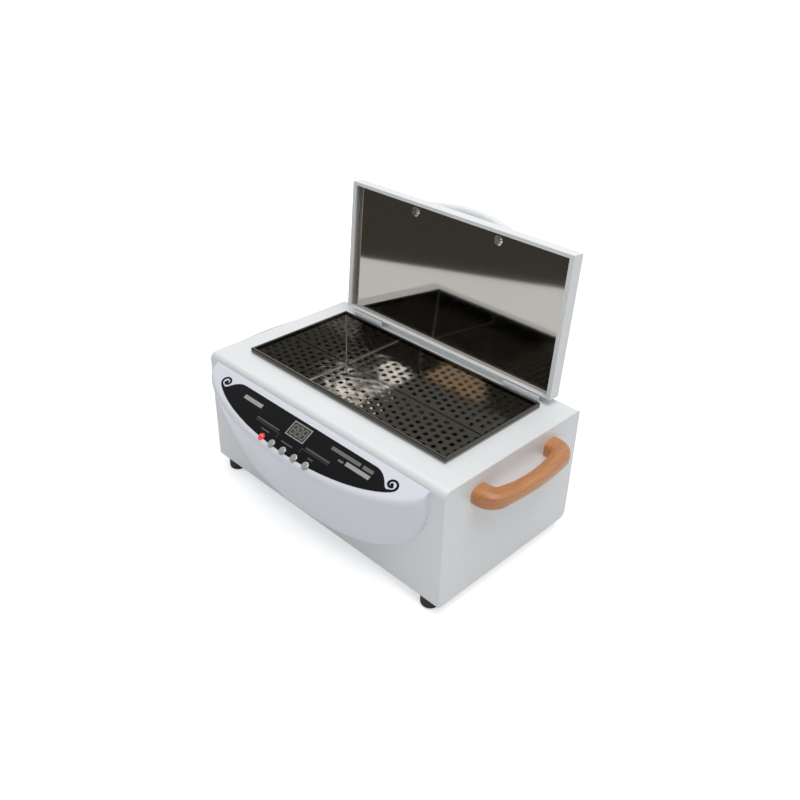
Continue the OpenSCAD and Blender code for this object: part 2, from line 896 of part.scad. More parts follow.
fascia_screw_x = 112;
fascia_screw_high = 30;
fascia_screw_low = 56;
fascia_boss_r = 3.6;

// Sends its child to the moulding's four screws, with z out of the case's front
module at_fascia_screws() {
    for (x = [-1, 1], place = [[fascia_screw_x, fascia_screw_high], [fascia_screw_x * 0.6, fascia_screw_low]])
        translate([fascia_x + x * place[0], front_y, foot_h + fascia_top - place[1]])
            rotate([90, 0, 0])
                children();
}

board_u = display_u + 9.1;
board_post_x = board_w / 2 - 4;
board_post_y = board_h / 2 - 4;
board_post_r = 3;

// Sends its child to the control board's four posts, from the board's face outwards
module at_board_posts() {
    for (x = [-1, 1], y = [-1, 1])
        translate([control_x + x * board_post_x, -board_u + y * board_post_y, -board_depth])
            children();
}

lamp_x = control_x - 2 * button_pitch;
button_x = [for (n = [-1 : 2]) control_x + n * button_pitch];

// Bow-fronted moulding: an open-backed shell with openings, screw bosses and the board's posts
module control_fascia() {
    color("#e4e4e2")
        union() {
            difference() {
                placed()
                    translate([fascia_x, front_y, foot_h + fascia_top])
                        difference() {
                            fascia_loft(0, 0);
                            fascia_loft(fascia_t, cut);
                        }
                on_facet() {
                    translate([control_x, -display_u, 0])
                        cube([display_w + 2 * sheet_gap - 2 * display_border, display_h + 2 * sheet_gap - 2 * display_border,
                            4 * fascia_t], center = true);
                    for (x = button_x)
                        translate([x, -button_u, 0])
                            cylinder(r = button_r + button_clearance, h = 4 * fascia_t, center = true);
                    translate([lamp_x, -button_u, 0])
                        cylinder(r = lamp_r + button_clearance, h = 4 * fascia_t, center = true);
                }
            }
            on_facet()
                at_board_posts()
                    difference() {
                        cylinder(r = board_post_r, h = board_depth - fascia_t / 2);
                        translate([0, 0, -cut])
                            cylinder(r = m3_r - hole_gap, h = 6 + cut);
                    }
            placed()
                difference() {
                    intersection() {
                        translate([fascia_x, front_y, foot_h + fascia_top])
                            fascia_loft(fascia_t / 2, 0);
                        at_fascia_screws()
                            cylinder(r = fascia_boss_r, h = facet_b);
                    }
                    at_fascia_screws()
                        translate([0, 0, -cut])
                            cylinder(r = m3_r - hole_gap, h = 12 + cut);
                }
        }
}

module fascia_screws() {
    color(screw_steel)
        placed()
            at_fascia_screws()
                translate([0, 0, -sheet_t])
                    rotate([180, 0, 0])
                        screw(m3_r - 2 * hole_gap, sheet_t + 8, 2.8);
}

// LABEL

label_a = facet_a - label_end_gap;
scroll_x = label_a - scroll_inset;
label_edge_half = scroll_x - label_shoulder;
scroll_arm = 2.1;
channel_r = scroll_r - scroll_arm;
channel_start_r = 6.6;

// Body of the label: its straight top, a fall to each scroll and the bow of its lower edge
module label_body() {
    fall_steps = 12;
    channel_steps = 10;
    bow_steps = 48;
    channel_start = -145;
    fall_w = label_shoulder + channel_start_r * cos(channel_start);
    fall_h = scroll_u - channel_start_r * sin(channel_start) - label_top;
    bow_angle = acos((scroll_x + scroll_r * cos(57)) / label_a);
    top_points = concat(
        [for (k = [0 : fall_steps])
            [label_edge_half + fall_w * k / fall_steps, -label_top - fall_h * pow(k / fall_steps, 2.2)]],
        [for (k = [1 : channel_steps])
            let (a = channel_start * (1 - 0.6 * k / channel_steps),
                r = channel_start_r + (channel_r - channel_start_r) * k / channel_steps)
                [scroll_x + r * cos(a), -scroll_u + r * sin(a)]]
    );
    bow_points = [for (k = [0 : bow_steps])
        let (a = bow_angle + (180 - 2 * bow_angle) * k / bow_steps)
            [label_a * cos(a), -label_b * sin(a)]];
    mirrored = [for (k = [len(top_points) - 1 : -1 : 0]) [-top_points[k][0], top_points[k][1]]];
    polygon(concat(top_points, bow_points, mirrored));
}

// Arm that starts at the label's tip, runs round over the top and winds inwards to an eye
module scroll() {
    steps = 44;
    start = -95;
    sweep = 430;
    start_r = scroll_r - scroll_arm / 2 + 0.5;
    arm = [for (k = [0 : steps]) let (t = k / steps) [start + sweep * t, start_r + (2 - start_r) * t]];
    half = scroll_arm / 2;
    outer = [for (p = arm) (p[1] + half) * [cos(p[0]), sin(p[0])]];
    inner = [for (k = [steps : -1 : 0]) (arm[k][1] - half) * [cos(arm[k][0]), sin(arm[k][0])]];
    polygon(concat(outer, inner));
    circle(r = 1.6);
}

module control_label() {
    color("#121216")
        on_facet()
            translate([control_x, 0, 0])
                union() {
                    linear_extrude(label_t)
                        difference() {
                            label_body();
                            translate([0, -display_u])
                                square([display_w + 2 * sheet_gap, display_h + 2 * sheet_gap], center = true);
                            for (x = button_x)
                                translate([x - control_x, -button_u])
                                    circle(button_r + 2 * button_clearance);
                            translate([lamp_x - control_x, -button_u])
                                circle(lamp_r + 2 * button_clearance);
                        }
                    for (side = [0, 1])
                        mirror([side, 0, 0])
                            translate([scroll_x, -scroll_u, 0])
                                linear_extrude(label_t)
                                    scale([1.1, 0.9])
                                        scroll();
                }
}

// CONTROLS

module_w = display_w - 2 * display_border - 0.2;
module_h = display_h - 2 * display_border - 0.2;

// Light frame round the display
module display_frame() {
    color("#a9a9a6")
        on_facet()
            translate([control_x, -display_u, 0])
                linear_extrude(display_rise)
                    difference() {
                        square([display_w, display_h], center = true);
                        square([display_w - 2 * display_border, display_h - 2 * display_border], center = true);
                    }
}

module display_module() {
    color("#3b3a38")
        on_facet()
            translate([control_x, -display_u, 0])
                block(module_w, module_h, -board_depth, 0.3);
}

// Lamp with a domed lens, a stop flange behind the face and its body down to the board
module indicator_lamp() {
    dome_r = lamp_r;
    color("#c8263c")
        on_facet()
            translate([lamp_x, -button_u, 0])
                rotate_extrude()
                    union() {
                        intersection() {
                            translate([0, lamp_rise - dome_r])
                                circle(dome_r);
                            translate([0, lamp_rise - dome_r])
                                square([dome_r, dome_r]);
                        }
                        translate([0, -fascia_t])
                            square([lamp_r, fascia_t + max(lamp_rise - dome_r, 0)]);
                        translate([0, -fascia_t - 1.2])
                            square([lamp_r + 0.6, 1.1]);
                        translate([0, -board_depth])
                            square([2.5, board_depth - 0.5]);
                    }
}

switch_h = 3.5;
plunger_top = -board_depth + switch_h + 1.2;

// Metal button: a domed cap, a stop flange behind the face and a stem over its switch
module button(n) {
    color("#a8a8a6")
        on_facet()
            translate([button_x[n - 1], -button_u, 0])
                rotate_extrude()
                    union() {
                        difference() {
                            translate([0, -fascia_t - 0.5])
                                square([button_r, button_rise + fascia_t + 0.5]);
                            translate([button_r, button_rise])
                                rotate(180)
                                    corner_waste(0.7);
                        }
                        translate([0, -fascia_t - 1.3])
                            square([button_r + 0.5, 1.15]);
                        translate([0, plunger_top + button_travel + 0.15])
                            square([2, -fascia_t - 0.5 - (plunger_top + button_travel + 0.15)]);
                    }
}

module control_board() {
    color(board_green)
        on_facet()
            difference() {
                translate([control_x, -board_u, 0])
                    block(board_w, board_h, -board_depth - board_t, -board_depth);
                at_board_posts()
                    cylinder(r = m3_r, h = 4 * board_t, center = true);
            }
}

module control_board_screws() {
    color(screw_steel)
        on_facet()
            at_board_posts()
                translate([0, 0, -board_t])
                    rotate([180, 0, 0])
                        screw(m3_r - 2 * hole_gap, board_t + 5, 2.6);
}

module button_switches() {
    color("#2b2b2d")
        on_facet()
            for (x = button_x)
                translate([x, -button_u, 0])
                    union() {
                        block(6, 6, -board_depth, -board_depth + switch_h);
                        translate([0, 0, -board_depth])
                            cylinder(r = 1.7, h = plunger_top + board_depth);
                    }
}

// MAINS SIDE

power_board_y = back_y - 34 - power_board_d / 2;
power_board_z = base_top_z + standoff_h;

module at_power_board_corners() {
    for (x = [-1, 1], y = [-1, 1])
        translate([power_board_x + x * (power_board_w / 2 - 5), power_board_y + y * (power_board_d / 2 - 5), base_z])
            children();
}

module power_board() {
    color(board_green)
        placed()
            difference() {
                translate([power_board_x, power_board_y, 0])
                    block(power_board_w, power_board_d, power_board_z, power_board_z + board_t);
                at_power_board_corners()
                    cylinder(r = m3_r, h = 40, center = true);
            }
}

module power_board_standoffs() {
    color("#c2b280")
        placed()
            at_power_board_corners()
                translate([0, 0, sheet_t])
                    difference() {
                        cylinder(r = 3, h = standoff_h, $fn = 6);
                        translate([0, 0, -cut])
                            cylinder(r = m3_r, h = standoff_h + 2 * cut);
                    }
}

// Screws up through the base plate, standoffs and board, with their nuts run on
module power_board_screws() {
    color(screw_steel)
        placed()
            at_power_board_corners()
                rotate([180, 0, 0])
                    union() {
                        screw(m3_r - hole_gap, sheet_t + standoff_h + board_t + 3, 2.8, 1);
                        translate([0, 0, -sheet_t - standoff_h - board_t - 2.2])
                            cylinder(r = 2.9, h = 2.2, $fn = 6);
                    }
}

// A block standing on the power board at a place from its middle
module board_block(x, y, w, d, h) {
    placed()
        translate([power_board_x + x, power_board_y + y, 0])
            block(w, d, power_board_z + board_t, power_board_z + board_t + h);
}

module power_relay() {
    color("#27498c")
        board_block(18, 8, 19, 15, 14);
}

module power_transformer() {
    color("#d9a441")
        board_block(-18, 6, 26, 22, 14);
}

module terminal_block() {
    color("#3d7f4d")
        placed()
            difference() {
                translate([power_board_x + 14, power_board_y - power_board_d / 2 + 9, 0])
                    block(30, 9, power_board_z + board_t, power_board_z + board_t + 10);
                for (n = [-1.5, -0.5, 0.5, 1.5])
                    translate([power_board_x + 14 + n * 7, power_board_y - power_board_d / 2 + 9, power_board_z + board_t + 7])
                        cylinder(r = 1.9, h = 6);
            }
}

inlet_socket_w = 24.4;
inlet_socket_h = 16.6;
inlet_socket_depth = 17;
inlet_flange_t = 3;

module at_inlet_screws() {
    for (x = [-1, 1])
        translate([inlet_x + x * inlet_screw_pitch / 2, back_y, foot_h + inlet_z])
            rotate([-90, 0, 0])
                children();
}

// Mains inlet: a flange on the case's back, a body through it and three blades in the socket
module power_inlet() {
    color("#202022")
        placed()
            translate([inlet_x, back_y, foot_h + inlet_z])
                rotate([-90, 0, 0])
                    difference() {
                        union() {
                            linear_extrude(inlet_flange_t)
                                rounded_square(inlet_screw_pitch + 9, inlet_h + 3, 5);
                            block(inlet_w - 2 * sheet_gap, inlet_h - 2 * sheet_gap, -inlet_tub_depth + inlet_flange_t, inlet_flange_t);
                        }
                        difference() {
                            block(inlet_socket_w, inlet_socket_h, inlet_flange_t - inlet_socket_depth, inlet_flange_t + cut);
                            for (blade = [[-7, -2], [0, 2], [7, -2]])
                                translate([blade[0], blade[1], 0])
                                    block(2, 4, inlet_flange_t - inlet_socket_depth - cut, -4);
                        }
                        for (x = [-1, 1])
                            translate([x * inlet_screw_pitch / 2, 0, inlet_flange_t])
                                countersink(m3_r, inlet_flange_t + cut, 2.8);
                    }
}

module inlet_screws() {
    color(screw_steel)
        placed()
            at_inlet_screws()
                translate([0, 0, inlet_flange_t])
                    countersunk_screw(m3_r, 10, 2.8);
}

// HANDLES

// Half angle of the grip's arc in a bowed bar whose elbows join it to straight legs
function bow_half_turn(span, elbow_r, bow_r) = asin((span / 2 - elbow_r) / (bow_r - elbow_r));

// Point on a bowed bar's middle line where its outward direction is at angle a from +x
function bow_point(a, span, reach, elbow_r, bow_r) =
    let (
        half_turn = bow_half_turn(span, elbow_r, bow_r),
        leg = reach - bow_r + (bow_r - elbow_r) * cos(half_turn)
    )
    abs(a) > half_turn
        ? [leg + elbow_r * cos(a), sign(a) * (span / 2 - elbow_r) + elbow_r * sin(a)]
        : [reach - bow_r + bow_r * cos(a), bow_r * sin(a)];

// Bowed bar with its ends on x = 0: straight legs, two elbows and a grip of one large arc,
// with a rounded section w by h that grows by the share swell towards its ends
module bow_bar(span, reach, elbow_r, bow_r, w, h, section_power, start = 0, swell = 0) {
    elbow_steps = 8;
    grip_steps = 8;
    around = 20;
    half_turn = bow_half_turn(span, elbow_r, bow_r);
    elbow_angles = [for (k = [0 : elbow_steps]) 90 - (90 - half_turn) * k / elbow_steps];
    grip_angles = [for (k = [1 : grip_steps - 1]) half_turn - 2 * half_turn * k / grip_steps];
    angles = concat(elbow_angles, grip_angles, [for (k = [elbow_steps : -1 : 0]) -elbow_angles[k]]);
    line = concat(
        [[start, span / 2, 90]],
        [for (a = angles) let (p = bow_point(a, span, reach, elbow_r, bow_r)) [p[0], p[1], a]],
        [[start, -span / 2, -90]]
    );
    points = [for (p = line) for (k = [0 : around - 1])
        let (
            c = cos(360 * k / around),
            s = sin(360 * k / around),
            grow = 1 + swell * pow(min(1, abs(p[1]) / (span / 2)), 3),
            out = grow * w / 2 * sign(c) * pow(abs(c), 2 / section_power),
            up = grow * h / 2 * sign(s) * pow(abs(s), 2 / section_power)
        )
        [p[0] + out * cos(p[2]), p[1] + out * sin(p[2]), up]];
    polyhedron(points, tube_faces(len(line), around), convexity = 6);
}

// Faces of a closed tube of rings that each have the same number of points
function tube_faces(rings, size) = concat(
    [[for (k = [size - 1 : -1 : 0]) k]],
    [for (n = [0 : rings - 2]) for (k = [0 : size - 1]) for (half = [0, 1])
        let (a = n * size + k, b = n * size + (k + 1) % size)
            half == 0 ? [a, b, b + size] : [a, b + size, a + size]],
    [[for (k = [0 : size - 1]) (rings - 1) * size + k]]
);

handle_hole_r = 1.8;
handle_screw_len = 16;

module at_handle_screws() {
    for (y = [-1, 1])
        translate([inner_half_w, handle_y + y * handle_span / 2, foot_h + handle_z])
            rotate([0, -90, 0])
                children();
}

module side_handle() {
    difference() {
        translate([half_w, handle_y, foot_h + handle_z])
            bow_bar(handle_span, handle_reach, handle_elbow_r, handle_bow_r, handle_t, handle_section_h,
                handle_power, swell = handle_swell);
        at_handle_screws()
            translate([0, 0, -handle_screw_len])
                cylinder(r = handle_hole_r, h = handle_screw_len + cut);
    }
}

module side_handle_screws() {
    at_handle_screws()
        screw(handle_hole_r - 0.1, handle_screw_len - 1, 3.6, 2.2);
}

module right_handle() {
    color("#c4824d")
        placed()
            side_handle();
}

module left_handle() {
    color("#c4824d")
        placed()
            mirror([1, 0, 0])
                side_handle();
}

module right_handle_screws() {
    color(screw_steel)
        placed()
            side_handle_screws();
}

module left_handle_screws() {
    color(screw_steel)
        placed()
            mirror([1, 0, 0])
                side_handle_screws();
}

// HINGES

leaf_screw_x = hinge_len / 2 - 5;
leaf_screw_head = 2.7;
case_screw_y = hinge_axis_y + knuckle_r + 4.6;
lid_screw_z = hinge_axis_z + knuckle_r + 4.2;

module at_hinge_case_screws() {
    for (side = [-1, 1], x = [-1, 1])
        translate([side * hinge_x + x * leaf_screw_x, case_screw_y, case_top_z])
            children();
}

module at_hinge_lid_screws() {
    for (side = [-1, 1], x = [-1, 1])
        translate([side * hinge_x + x * leaf_screw_x, lid_back_y, lid_screw_z])
            rotate([-90, 0, 0])
                children();
}

module knuckle(low, high, bore_r) {
    translate([low, hinge_axis_y, hinge_axis_z])
        rotate([0, 90, 0])
            difference() {
                cylinder(r = knuckle_r, h = high - low);
                translate([0, 0, -cut])
                    cylinder(r = bore_r, h = high - low + 2 * cut);
            }
}

// Clears the round of the other leaf's knuckles from low to high along the pin
module knuckle_room(low, high) {
    translate([low, hinge_axis_y, hinge_axis_z])
        rotate([0, 90, 0])
            cylinder(r = knuckle_r + knuckle_gap, h = high - low);
}

// Leaf on the case's top with the two outer knuckles
module case_leaf(middle) {
    color(white)
        placed()
            translate([middle, 0, 0])
                difference() {
                    union() {
                        for (side = [0, 1])
                            mirror([side, 0, 0])
                                knuckle(knuckle_half + knuckle_gap, hinge_len / 2, pin_r + pin_clearance);
                        difference() {
                            translate([-hinge_len / 2, hinge_axis_y, case_top_z])
                                cube([hinge_len, case_leaf_len, leaf_t]);
                            knuckle_room(-knuckle_half - knuckle_gap, knuckle_half + knuckle_gap);
                            translate([-hinge_len, hinge_axis_y, hinge_axis_z])
                                rotate([0, 90, 0])
                                    cylinder(r = (pin_r + knuckle_r) / 2, h = 2 * hinge_len);
                        }
                    }
                    for (x = [-1, 1])
                        translate([x * leaf_screw_x, case_screw_y, case_top_z + leaf_t])
                            countersink(m3_r, leaf_t + cut, leaf_screw_head);
                }
}

// Leaf on the lid's back wall with the middle knuckle
module lid_leaf(middle) {
    color(white)
        opened()
            translate([middle, 0, 0])
                difference() {
                    union() {
                        knuckle(-knuckle_half, knuckle_half, pin_r + pin_clearance);
                        difference() {
                            translate([-hinge_len / 2, lid_back_y, hinge_axis_z])
                                cube([hinge_len, leaf_t, lid_leaf_len]);
                            knuckle_room(-hinge_len, -knuckle_half);
                            knuckle_room(knuckle_half, hinge_len);
                            translate([-hinge_len, hinge_axis_y, hinge_axis_z])
                                rotate([0, 90, 0])
                                    cylinder(r = (pin_r + knuckle_r) / 2, h = 2 * hinge_len);
                        }
                    }
                    for (x = [-1, 1])
                        translate([x * leaf_screw_x, lid_back_y + leaf_t, lid_screw_z])
                            rotate([-90, 0, 0])
                                countersink(m3_r, leaf_t + cut, leaf_screw_head);
                }
}

// Pin with a low head at each end
module hinge_pin(middle) {
    color(screw_steel)
        placed()
            translate([middle, hinge_axis_y, hinge_axis_z])
                rotate([0, 90, 0])
                    union() {
                        cylinder(r = pin_r, h = hinge_len + 0.4, center = true);
                        for (side = [0, 1])
                            mirror([0, 0, side])
                                translate([0, 0, hinge_len / 2 + 0.1])
                                    cylinder(r = pin_r + 0.7, h = 0.6);
                    }
}

module hinge_left_case_leaf() {
    case_leaf(-hinge_x);
}

module hinge_left_lid_leaf() {
    lid_leaf(-hinge_x);
}

module hinge_left_pin() {
    hinge_pin(-hinge_x);
}

module hinge_right_case_leaf() {
    case_leaf(hinge_x);
}

module hinge_right_lid_leaf() {
    lid_leaf(hinge_x);
}

module hinge_right_pin() {
    hinge_pin(hinge_x);
}

module hinge_case_screws() {
    color(screw_steel)
        placed()
            at_hinge_case_screws()
                translate([0, 0, leaf_t])
                    countersunk_screw(m3_r, 6, leaf_screw_head);
}

module hinge_lid_screws() {
    color(screw_steel)
        opened()
            at_hinge_lid_screws()
                translate([0, 0, leaf_t])
                    countersunk_screw(m3_r, 6, leaf_screw_head);
}

// LID

// Sends its child to the lid handle's two screws, on the liner's face with z into the lid
module at_lid_handle_screws() {
    for (x = [-1, 1])
        translate([x * lid_handle_span / 2, lid_handle_y, liner_z])
            children();
}

// Folded lid skin, open below
module lid_shell() {
    color(white)
        opened()
            difference() {
                translate([0, lid_middle_y, 0])
                    difference() {
                        crowned_block(lid_w, lid_d, lid_edge_z, lid_skin_z, lid_round_r);
                        crowned_block(lid_w - 2 * sheet_t, lid_d - 2 * sheet_t, lid_edge_z - cut, lid_skin_z - sheet_t,
                            lid_round_r - sheet_t);
                    }
                at_lid_handle_screws()
                    cylinder(r = m4_r + hole_gap, h = lid_h + cut);
                at_hinge_lid_screws()
                    cylinder(r = m3_r + hole_gap, h = 4 * sheet_t, center = true);
            }
}

liner_w = lid_w - 2 * sheet_t - 2 * sheet_gap;
liner_d = lid_d - 2 * sheet_t - 2 * sheet_gap;

// Mirror-finished liner: a shallow pan whose rim is folded up against the lid's walls
module lid_liner() {
    color("#8a8680")
        opened()
            difference() {
                translate([0, lid_middle_y, 0])
                    difference() {
                        block(liner_w, liner_d, liner_z, liner_z + liner_rim_h);
                        block(liner_w - 2 * tub_t, liner_d - 2 * tub_t, liner_z + tub_t, liner_z + liner_rim_h + cut);
                    }
                at_lid_handle_screws()
                    cylinder(r = m4_r + hole_gap, h = 4 * tub_t, center = true);
                at_hinge_lid_screws()
                    translate([0, 0, -20])
                        cylinder(r = leaf_screw_head, h = 20);
            }
}

// Insulation slab between the liner and the skin, notched for the hinge screws' ends
module lid_insulation() {
    slab_low = liner_z + tub_t + sheet_gap;
    slab_high = lid_skin_z - sheet_t - sheet_gap;
    slab_inset = max(lid_round_r, 2 * tub_t) + 2;
    color("#d8d2c4")
        opened()
            difference() {
                translate([0, lid_middle_y, 0])
                    block(lid_w - 2 * slab_inset, lid_d - 2 * slab_inset, slab_low, slab_high);
                at_lid_handle_screws()
                    cylinder(r = m4_r + 2 * hole_gap, h = lid_h);
            }
}

// Bow handle of the lid, standing on its skin and tilted forwards
module lid_handle() {
    color(white)
        opened()
            difference() {
                translate([0, lid_handle_y, lid_skin_z])
                    intersection() {
                        rotate([lid_handle_tilt, 0, 0])
                            rotate([0, -90, 0])
                                rotate([90, 0, 0])
                                    bow_bar(lid_handle_span, lid_handle_reach, lid_handle_elbow_r, lid_handle_bow_r,
                                        2 * lid_handle_r, 2 * lid_handle_r, 2, -lid_handle_r);
                        translate([-lid_w / 2, -lid_d / 2, 0])
                            cube([lid_w, lid_d, lid_d / 2]);
                    }
                at_lid_handle_screws()
                    cylinder(r = m4_r, h = lid_h - liner_inset + 5);
            }
}

module lid_handle_screws() {
    color(screw_steel)
        opened()
            at_lid_handle_screws()
                translate([0, 0, -washer_t])
                    rotate([180, 0, 0])
                        screw(m4_r - 0.1, lid_h - liner_inset + washer_t + 4, 3, 1.4);
}

washer_r = 4.7;
washer_t = 1;

// Cup washers under the lid handle's screw heads
module lid_handle_washers() {
    color(screw_steel)
        opened()
            at_lid_handle_screws()
                rotate([180, 0, 0])
                    difference() {
                        cylinder(r1 = washer_r, r2 = washer_r - 1.2, h = washer_t);
                        translate([0, 0, -cut])
                            cylinder(r = m4_r + 0.05, h = washer_t + 2 * cut);
                    }
}

outer_case();
left_side_panel();
right_side_panel();
base_plate();
panel_screws();
foot(foot_places[0]);  // foot_front_left
foot(foot_places[1]);  // foot_front_right
foot(foot_places[2]);  // foot_rear_left
foot(foot_places[3]);  // foot_rear_right
foot_screws();
foot_nuts();
chamber_tub();
perforated_tray();
heating_element();
heater_straps();
insulation_jacket();
temperature_probe();
thermal_cutout();
control_fascia();
fascia_screws();
control_label();
display_frame();
display_module();
indicator_lamp();
button(1);  // button_1
button(2);  // button_2
button(3);  // button_3
button(4);  // button_4
control_board();
control_board_screws();
button_switches();
power_board();
power_board_standoffs();
power_board_screws();
power_relay();
power_transformer();
terminal_block();
power_inlet();
inlet_screws();
left_handle();
right_handle();
left_handle_screws();
right_handle_screws();
hinge_left_case_leaf();
hinge_left_lid_leaf();
hinge_left_pin();
hinge_right_case_leaf();
hinge_right_lid_leaf();
hinge_right_pin();
hinge_case_screws();
hinge_lid_screws();
lid_shell();
lid_liner();
lid_insulation();
lid_handle();
lid_handle_screws();
lid_handle_washers();
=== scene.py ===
import math

import bmesh
import bpy
from mathutils import Matrix, Vector


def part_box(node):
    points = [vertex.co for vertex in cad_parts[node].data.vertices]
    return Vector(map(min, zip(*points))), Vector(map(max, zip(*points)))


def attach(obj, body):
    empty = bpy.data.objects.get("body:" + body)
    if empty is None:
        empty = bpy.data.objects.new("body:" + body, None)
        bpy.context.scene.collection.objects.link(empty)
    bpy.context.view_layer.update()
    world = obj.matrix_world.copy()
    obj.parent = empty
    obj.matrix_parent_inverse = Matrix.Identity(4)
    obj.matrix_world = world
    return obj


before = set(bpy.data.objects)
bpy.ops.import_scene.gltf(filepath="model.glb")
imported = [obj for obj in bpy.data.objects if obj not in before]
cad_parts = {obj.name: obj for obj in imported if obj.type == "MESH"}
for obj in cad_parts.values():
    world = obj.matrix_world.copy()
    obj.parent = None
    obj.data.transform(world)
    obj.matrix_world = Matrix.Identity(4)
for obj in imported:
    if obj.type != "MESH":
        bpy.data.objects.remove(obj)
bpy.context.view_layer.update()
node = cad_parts


# THE CASE
# A box folded from sheet steel, with two side panels screwed on, all powder coated white.
# The coat is smooth and glossy, with a faint orange peel that softens its reflections.
MM = 0.001  # Blender's unit is the metre


def linear(code):
    """Linear RGBA of an sRGB hex colour."""
    parts = [int(code[i : i + 2], 16) / 255 for i in (1, 3, 5)]
    return [c / 12.92 if c <= 0.04045 else ((c + 0.055) / 1.055) ** 2.4 for c in parts] + [1.0]


def across(size):
    """Texture scale whose features are that many millimetres across."""
    return 1 / (size * MM)


def add(tree, kind, inputs=None, **settings):
    """Adds a node with its settings, and sets or links its inputs."""
    made = tree.nodes.new(kind)
    for name, value in settings.items():
        setattr(made, name, value)
    for name, value in (inputs or {}).items():
        if isinstance(value, bpy.types.NodeSocket):
            tree.links.new(value, made.inputs[name])
        else:
            made.inputs[name].default_value = value
    return made


def start(name):
    """A new material with nothing but its output, and the Object coordinates that its patterns read."""
    material = bpy.data.materials.new(name)
    material.use_nodes = True
    tree = material.node_tree
    tree.nodes.clear()
    place = add(tree, "ShaderNodeTexCoord").outputs["Object"]
    return material, tree, place


def shade(tree, shader):
    """Ends a material in that shader."""
    add(tree, "ShaderNodeOutputMaterial", {"Surface": shader.outputs[0]})


def dress(material, slot, *names):
    """Gives CAD nodes their finish. The slot is not used."""
    for name in names:
        mesh = node[name].data
        mesh.materials.clear()
        mesh.materials.append(material)


def powder_coat(name, pale, dull, peel_size=1.6, roughness=0.3):
    """Baked powder: a slow drift of shade and gloss under a fine orange peel."""
    material, tree, place = start(name)
    drift = add(tree, "ShaderNodeTexNoise", {"Vector": place, "Scale": across(70), "Detail": 2.0})
    colour = add(
        tree,
        "ShaderNodeMix",
        {"Factor": drift.outputs["Fac"], "A": linear(pale), "B": linear(dull)},
        data_type="RGBA",
    )
    gloss = add(
        tree,
        "ShaderNodeMapRange",
        {"Value": drift.outputs["Fac"], "To Min": roughness - 0.05, "To Max": roughness + 0.05},
    )
    peel = add(tree, "ShaderNodeTexNoise", {"Vector": place, "Scale": across(peel_size), "Detail": 1.0})
    bump = add(
        tree,
        "ShaderNodeBump",
        {"Height": peel.outputs["Fac"], "Strength": 0.12, "Distance": 0.05 * MM},
    )
    shade(
        tree,
        add(
            tree,
            "ShaderNodeBsdfPrincipled",
            {
                "Base Color": colour.outputs["Result"],
                "Roughness": gloss.outputs["Result"],
                "Normal": bump.outputs["Normal"],
                "IOR": 1.5,
            },
        ),
    )
    return material


case_coat = powder_coat("powder_coated_steel", "#eef0ef", "#e9ebea")
dress(case_coat, "white_paint", "outer_case", "left_side_panel", "right_side_panel", "lid_shell")


# THE SCREWS
# Cross-head machine screws of plated steel: bright, a little grey, and finely scratched by the driver.
def worn_metal(name, bright, dim, roughness=0.25, spot=6.0, grain=(1, 1, 1)):
    """Bare or plated metal, with handled spots that are dimmer and rougher."""
    material, tree, place = start(name)
    turn = add(tree, "ShaderNodeMapping", {"Vector": place, "Scale": grain})
    drift = add(
        tree,
        "ShaderNodeTexNoise",
        {"Vector": turn.outputs["Vector"], "Scale": across(spot), "Detail": 4.0, "Roughness": 0.6},
    )
    colour = add(
        tree,
        "ShaderNodeMix",
        {"Factor": drift.outputs["Fac"], "A": linear(bright), "B": linear(dim)},
        data_type="RGBA",
    )
    gloss = add(
        tree,
        "ShaderNodeMapRange",
        {"Value": drift.outputs["Fac"], "To Min": roughness * 0.75, "To Max": roughness * 1.3},
    )
    bump = add(
        tree,
        "ShaderNodeBump",
        {"Height": drift.outputs["Fac"], "Strength": 0.1, "Distance": 0.02 * MM},
    )
    shade(
        tree,
        add(
            tree,
            "ShaderNodeBsdfPrincipled",
            {
                "Base Color": colour.outputs["Result"],
                "Metallic": 1.0,
                "Roughness": gloss.outputs["Result"],
                "Normal": bump.outputs["Normal"],
            },
        ),
    )
    return material


plated_screw = worn_metal("nickel_plated_screw", "#d8d6d0", "#b9b6ae", roughness=0.22, spot=3.0)
dress(
    plated_screw,
    "fastener_steel",
    "panel_screws",
    "foot_screws",
    "foot_nuts",
    "fascia_screws",
    "control_board_screws",
    "power_board_screws",
    "inlet_screws",
    "left_handle_screws",
    "right_handle_screws",
    "hinge_left_pin",
    "hinge_right_pin",
    "hinge_case_screws",
    "hinge_lid_screws",
    "lid_handle_screws",
    "lid_handle_washers",
)


# THE BASE AND THE FEET
# The base plate is galvanised sheet, with the broad pale crystals of hot zinc.
# Four turned feet of black rubber lift it: matt, with dust in their pores.
def galvanised(name):
    """Hot zinc: flat crystals, each of its own grey."""
    material, tree, place = start(name)
    flake = add(tree, "ShaderNodeTexVoronoi", {"Vector": place, "Scale": across(9)})
    colour = add(
        tree,
        "ShaderNodeMix",
        {"Factor": flake.outputs["Color"], "A": linear("#a7abac"), "B": linear("#c3c7c8")},
        data_type="RGBA",
    )
    gloss = add(
        tree,
        "ShaderNodeMapRange",
        {"Value": flake.outputs["Distance"], "To Min": 0.35, "To Max": 0.5},
    )
    shade(
        tree,
        add(
            tree,
            "ShaderNodeBsdfPrincipled",
            {"Base Color": colour.outputs["Result"], "Metallic": 1.0, "Roughness": gloss.outputs["Result"]},
        ),
    )
    return material


dress(galvanised("galvanised_steel"), "base_zinc", "base_plate")


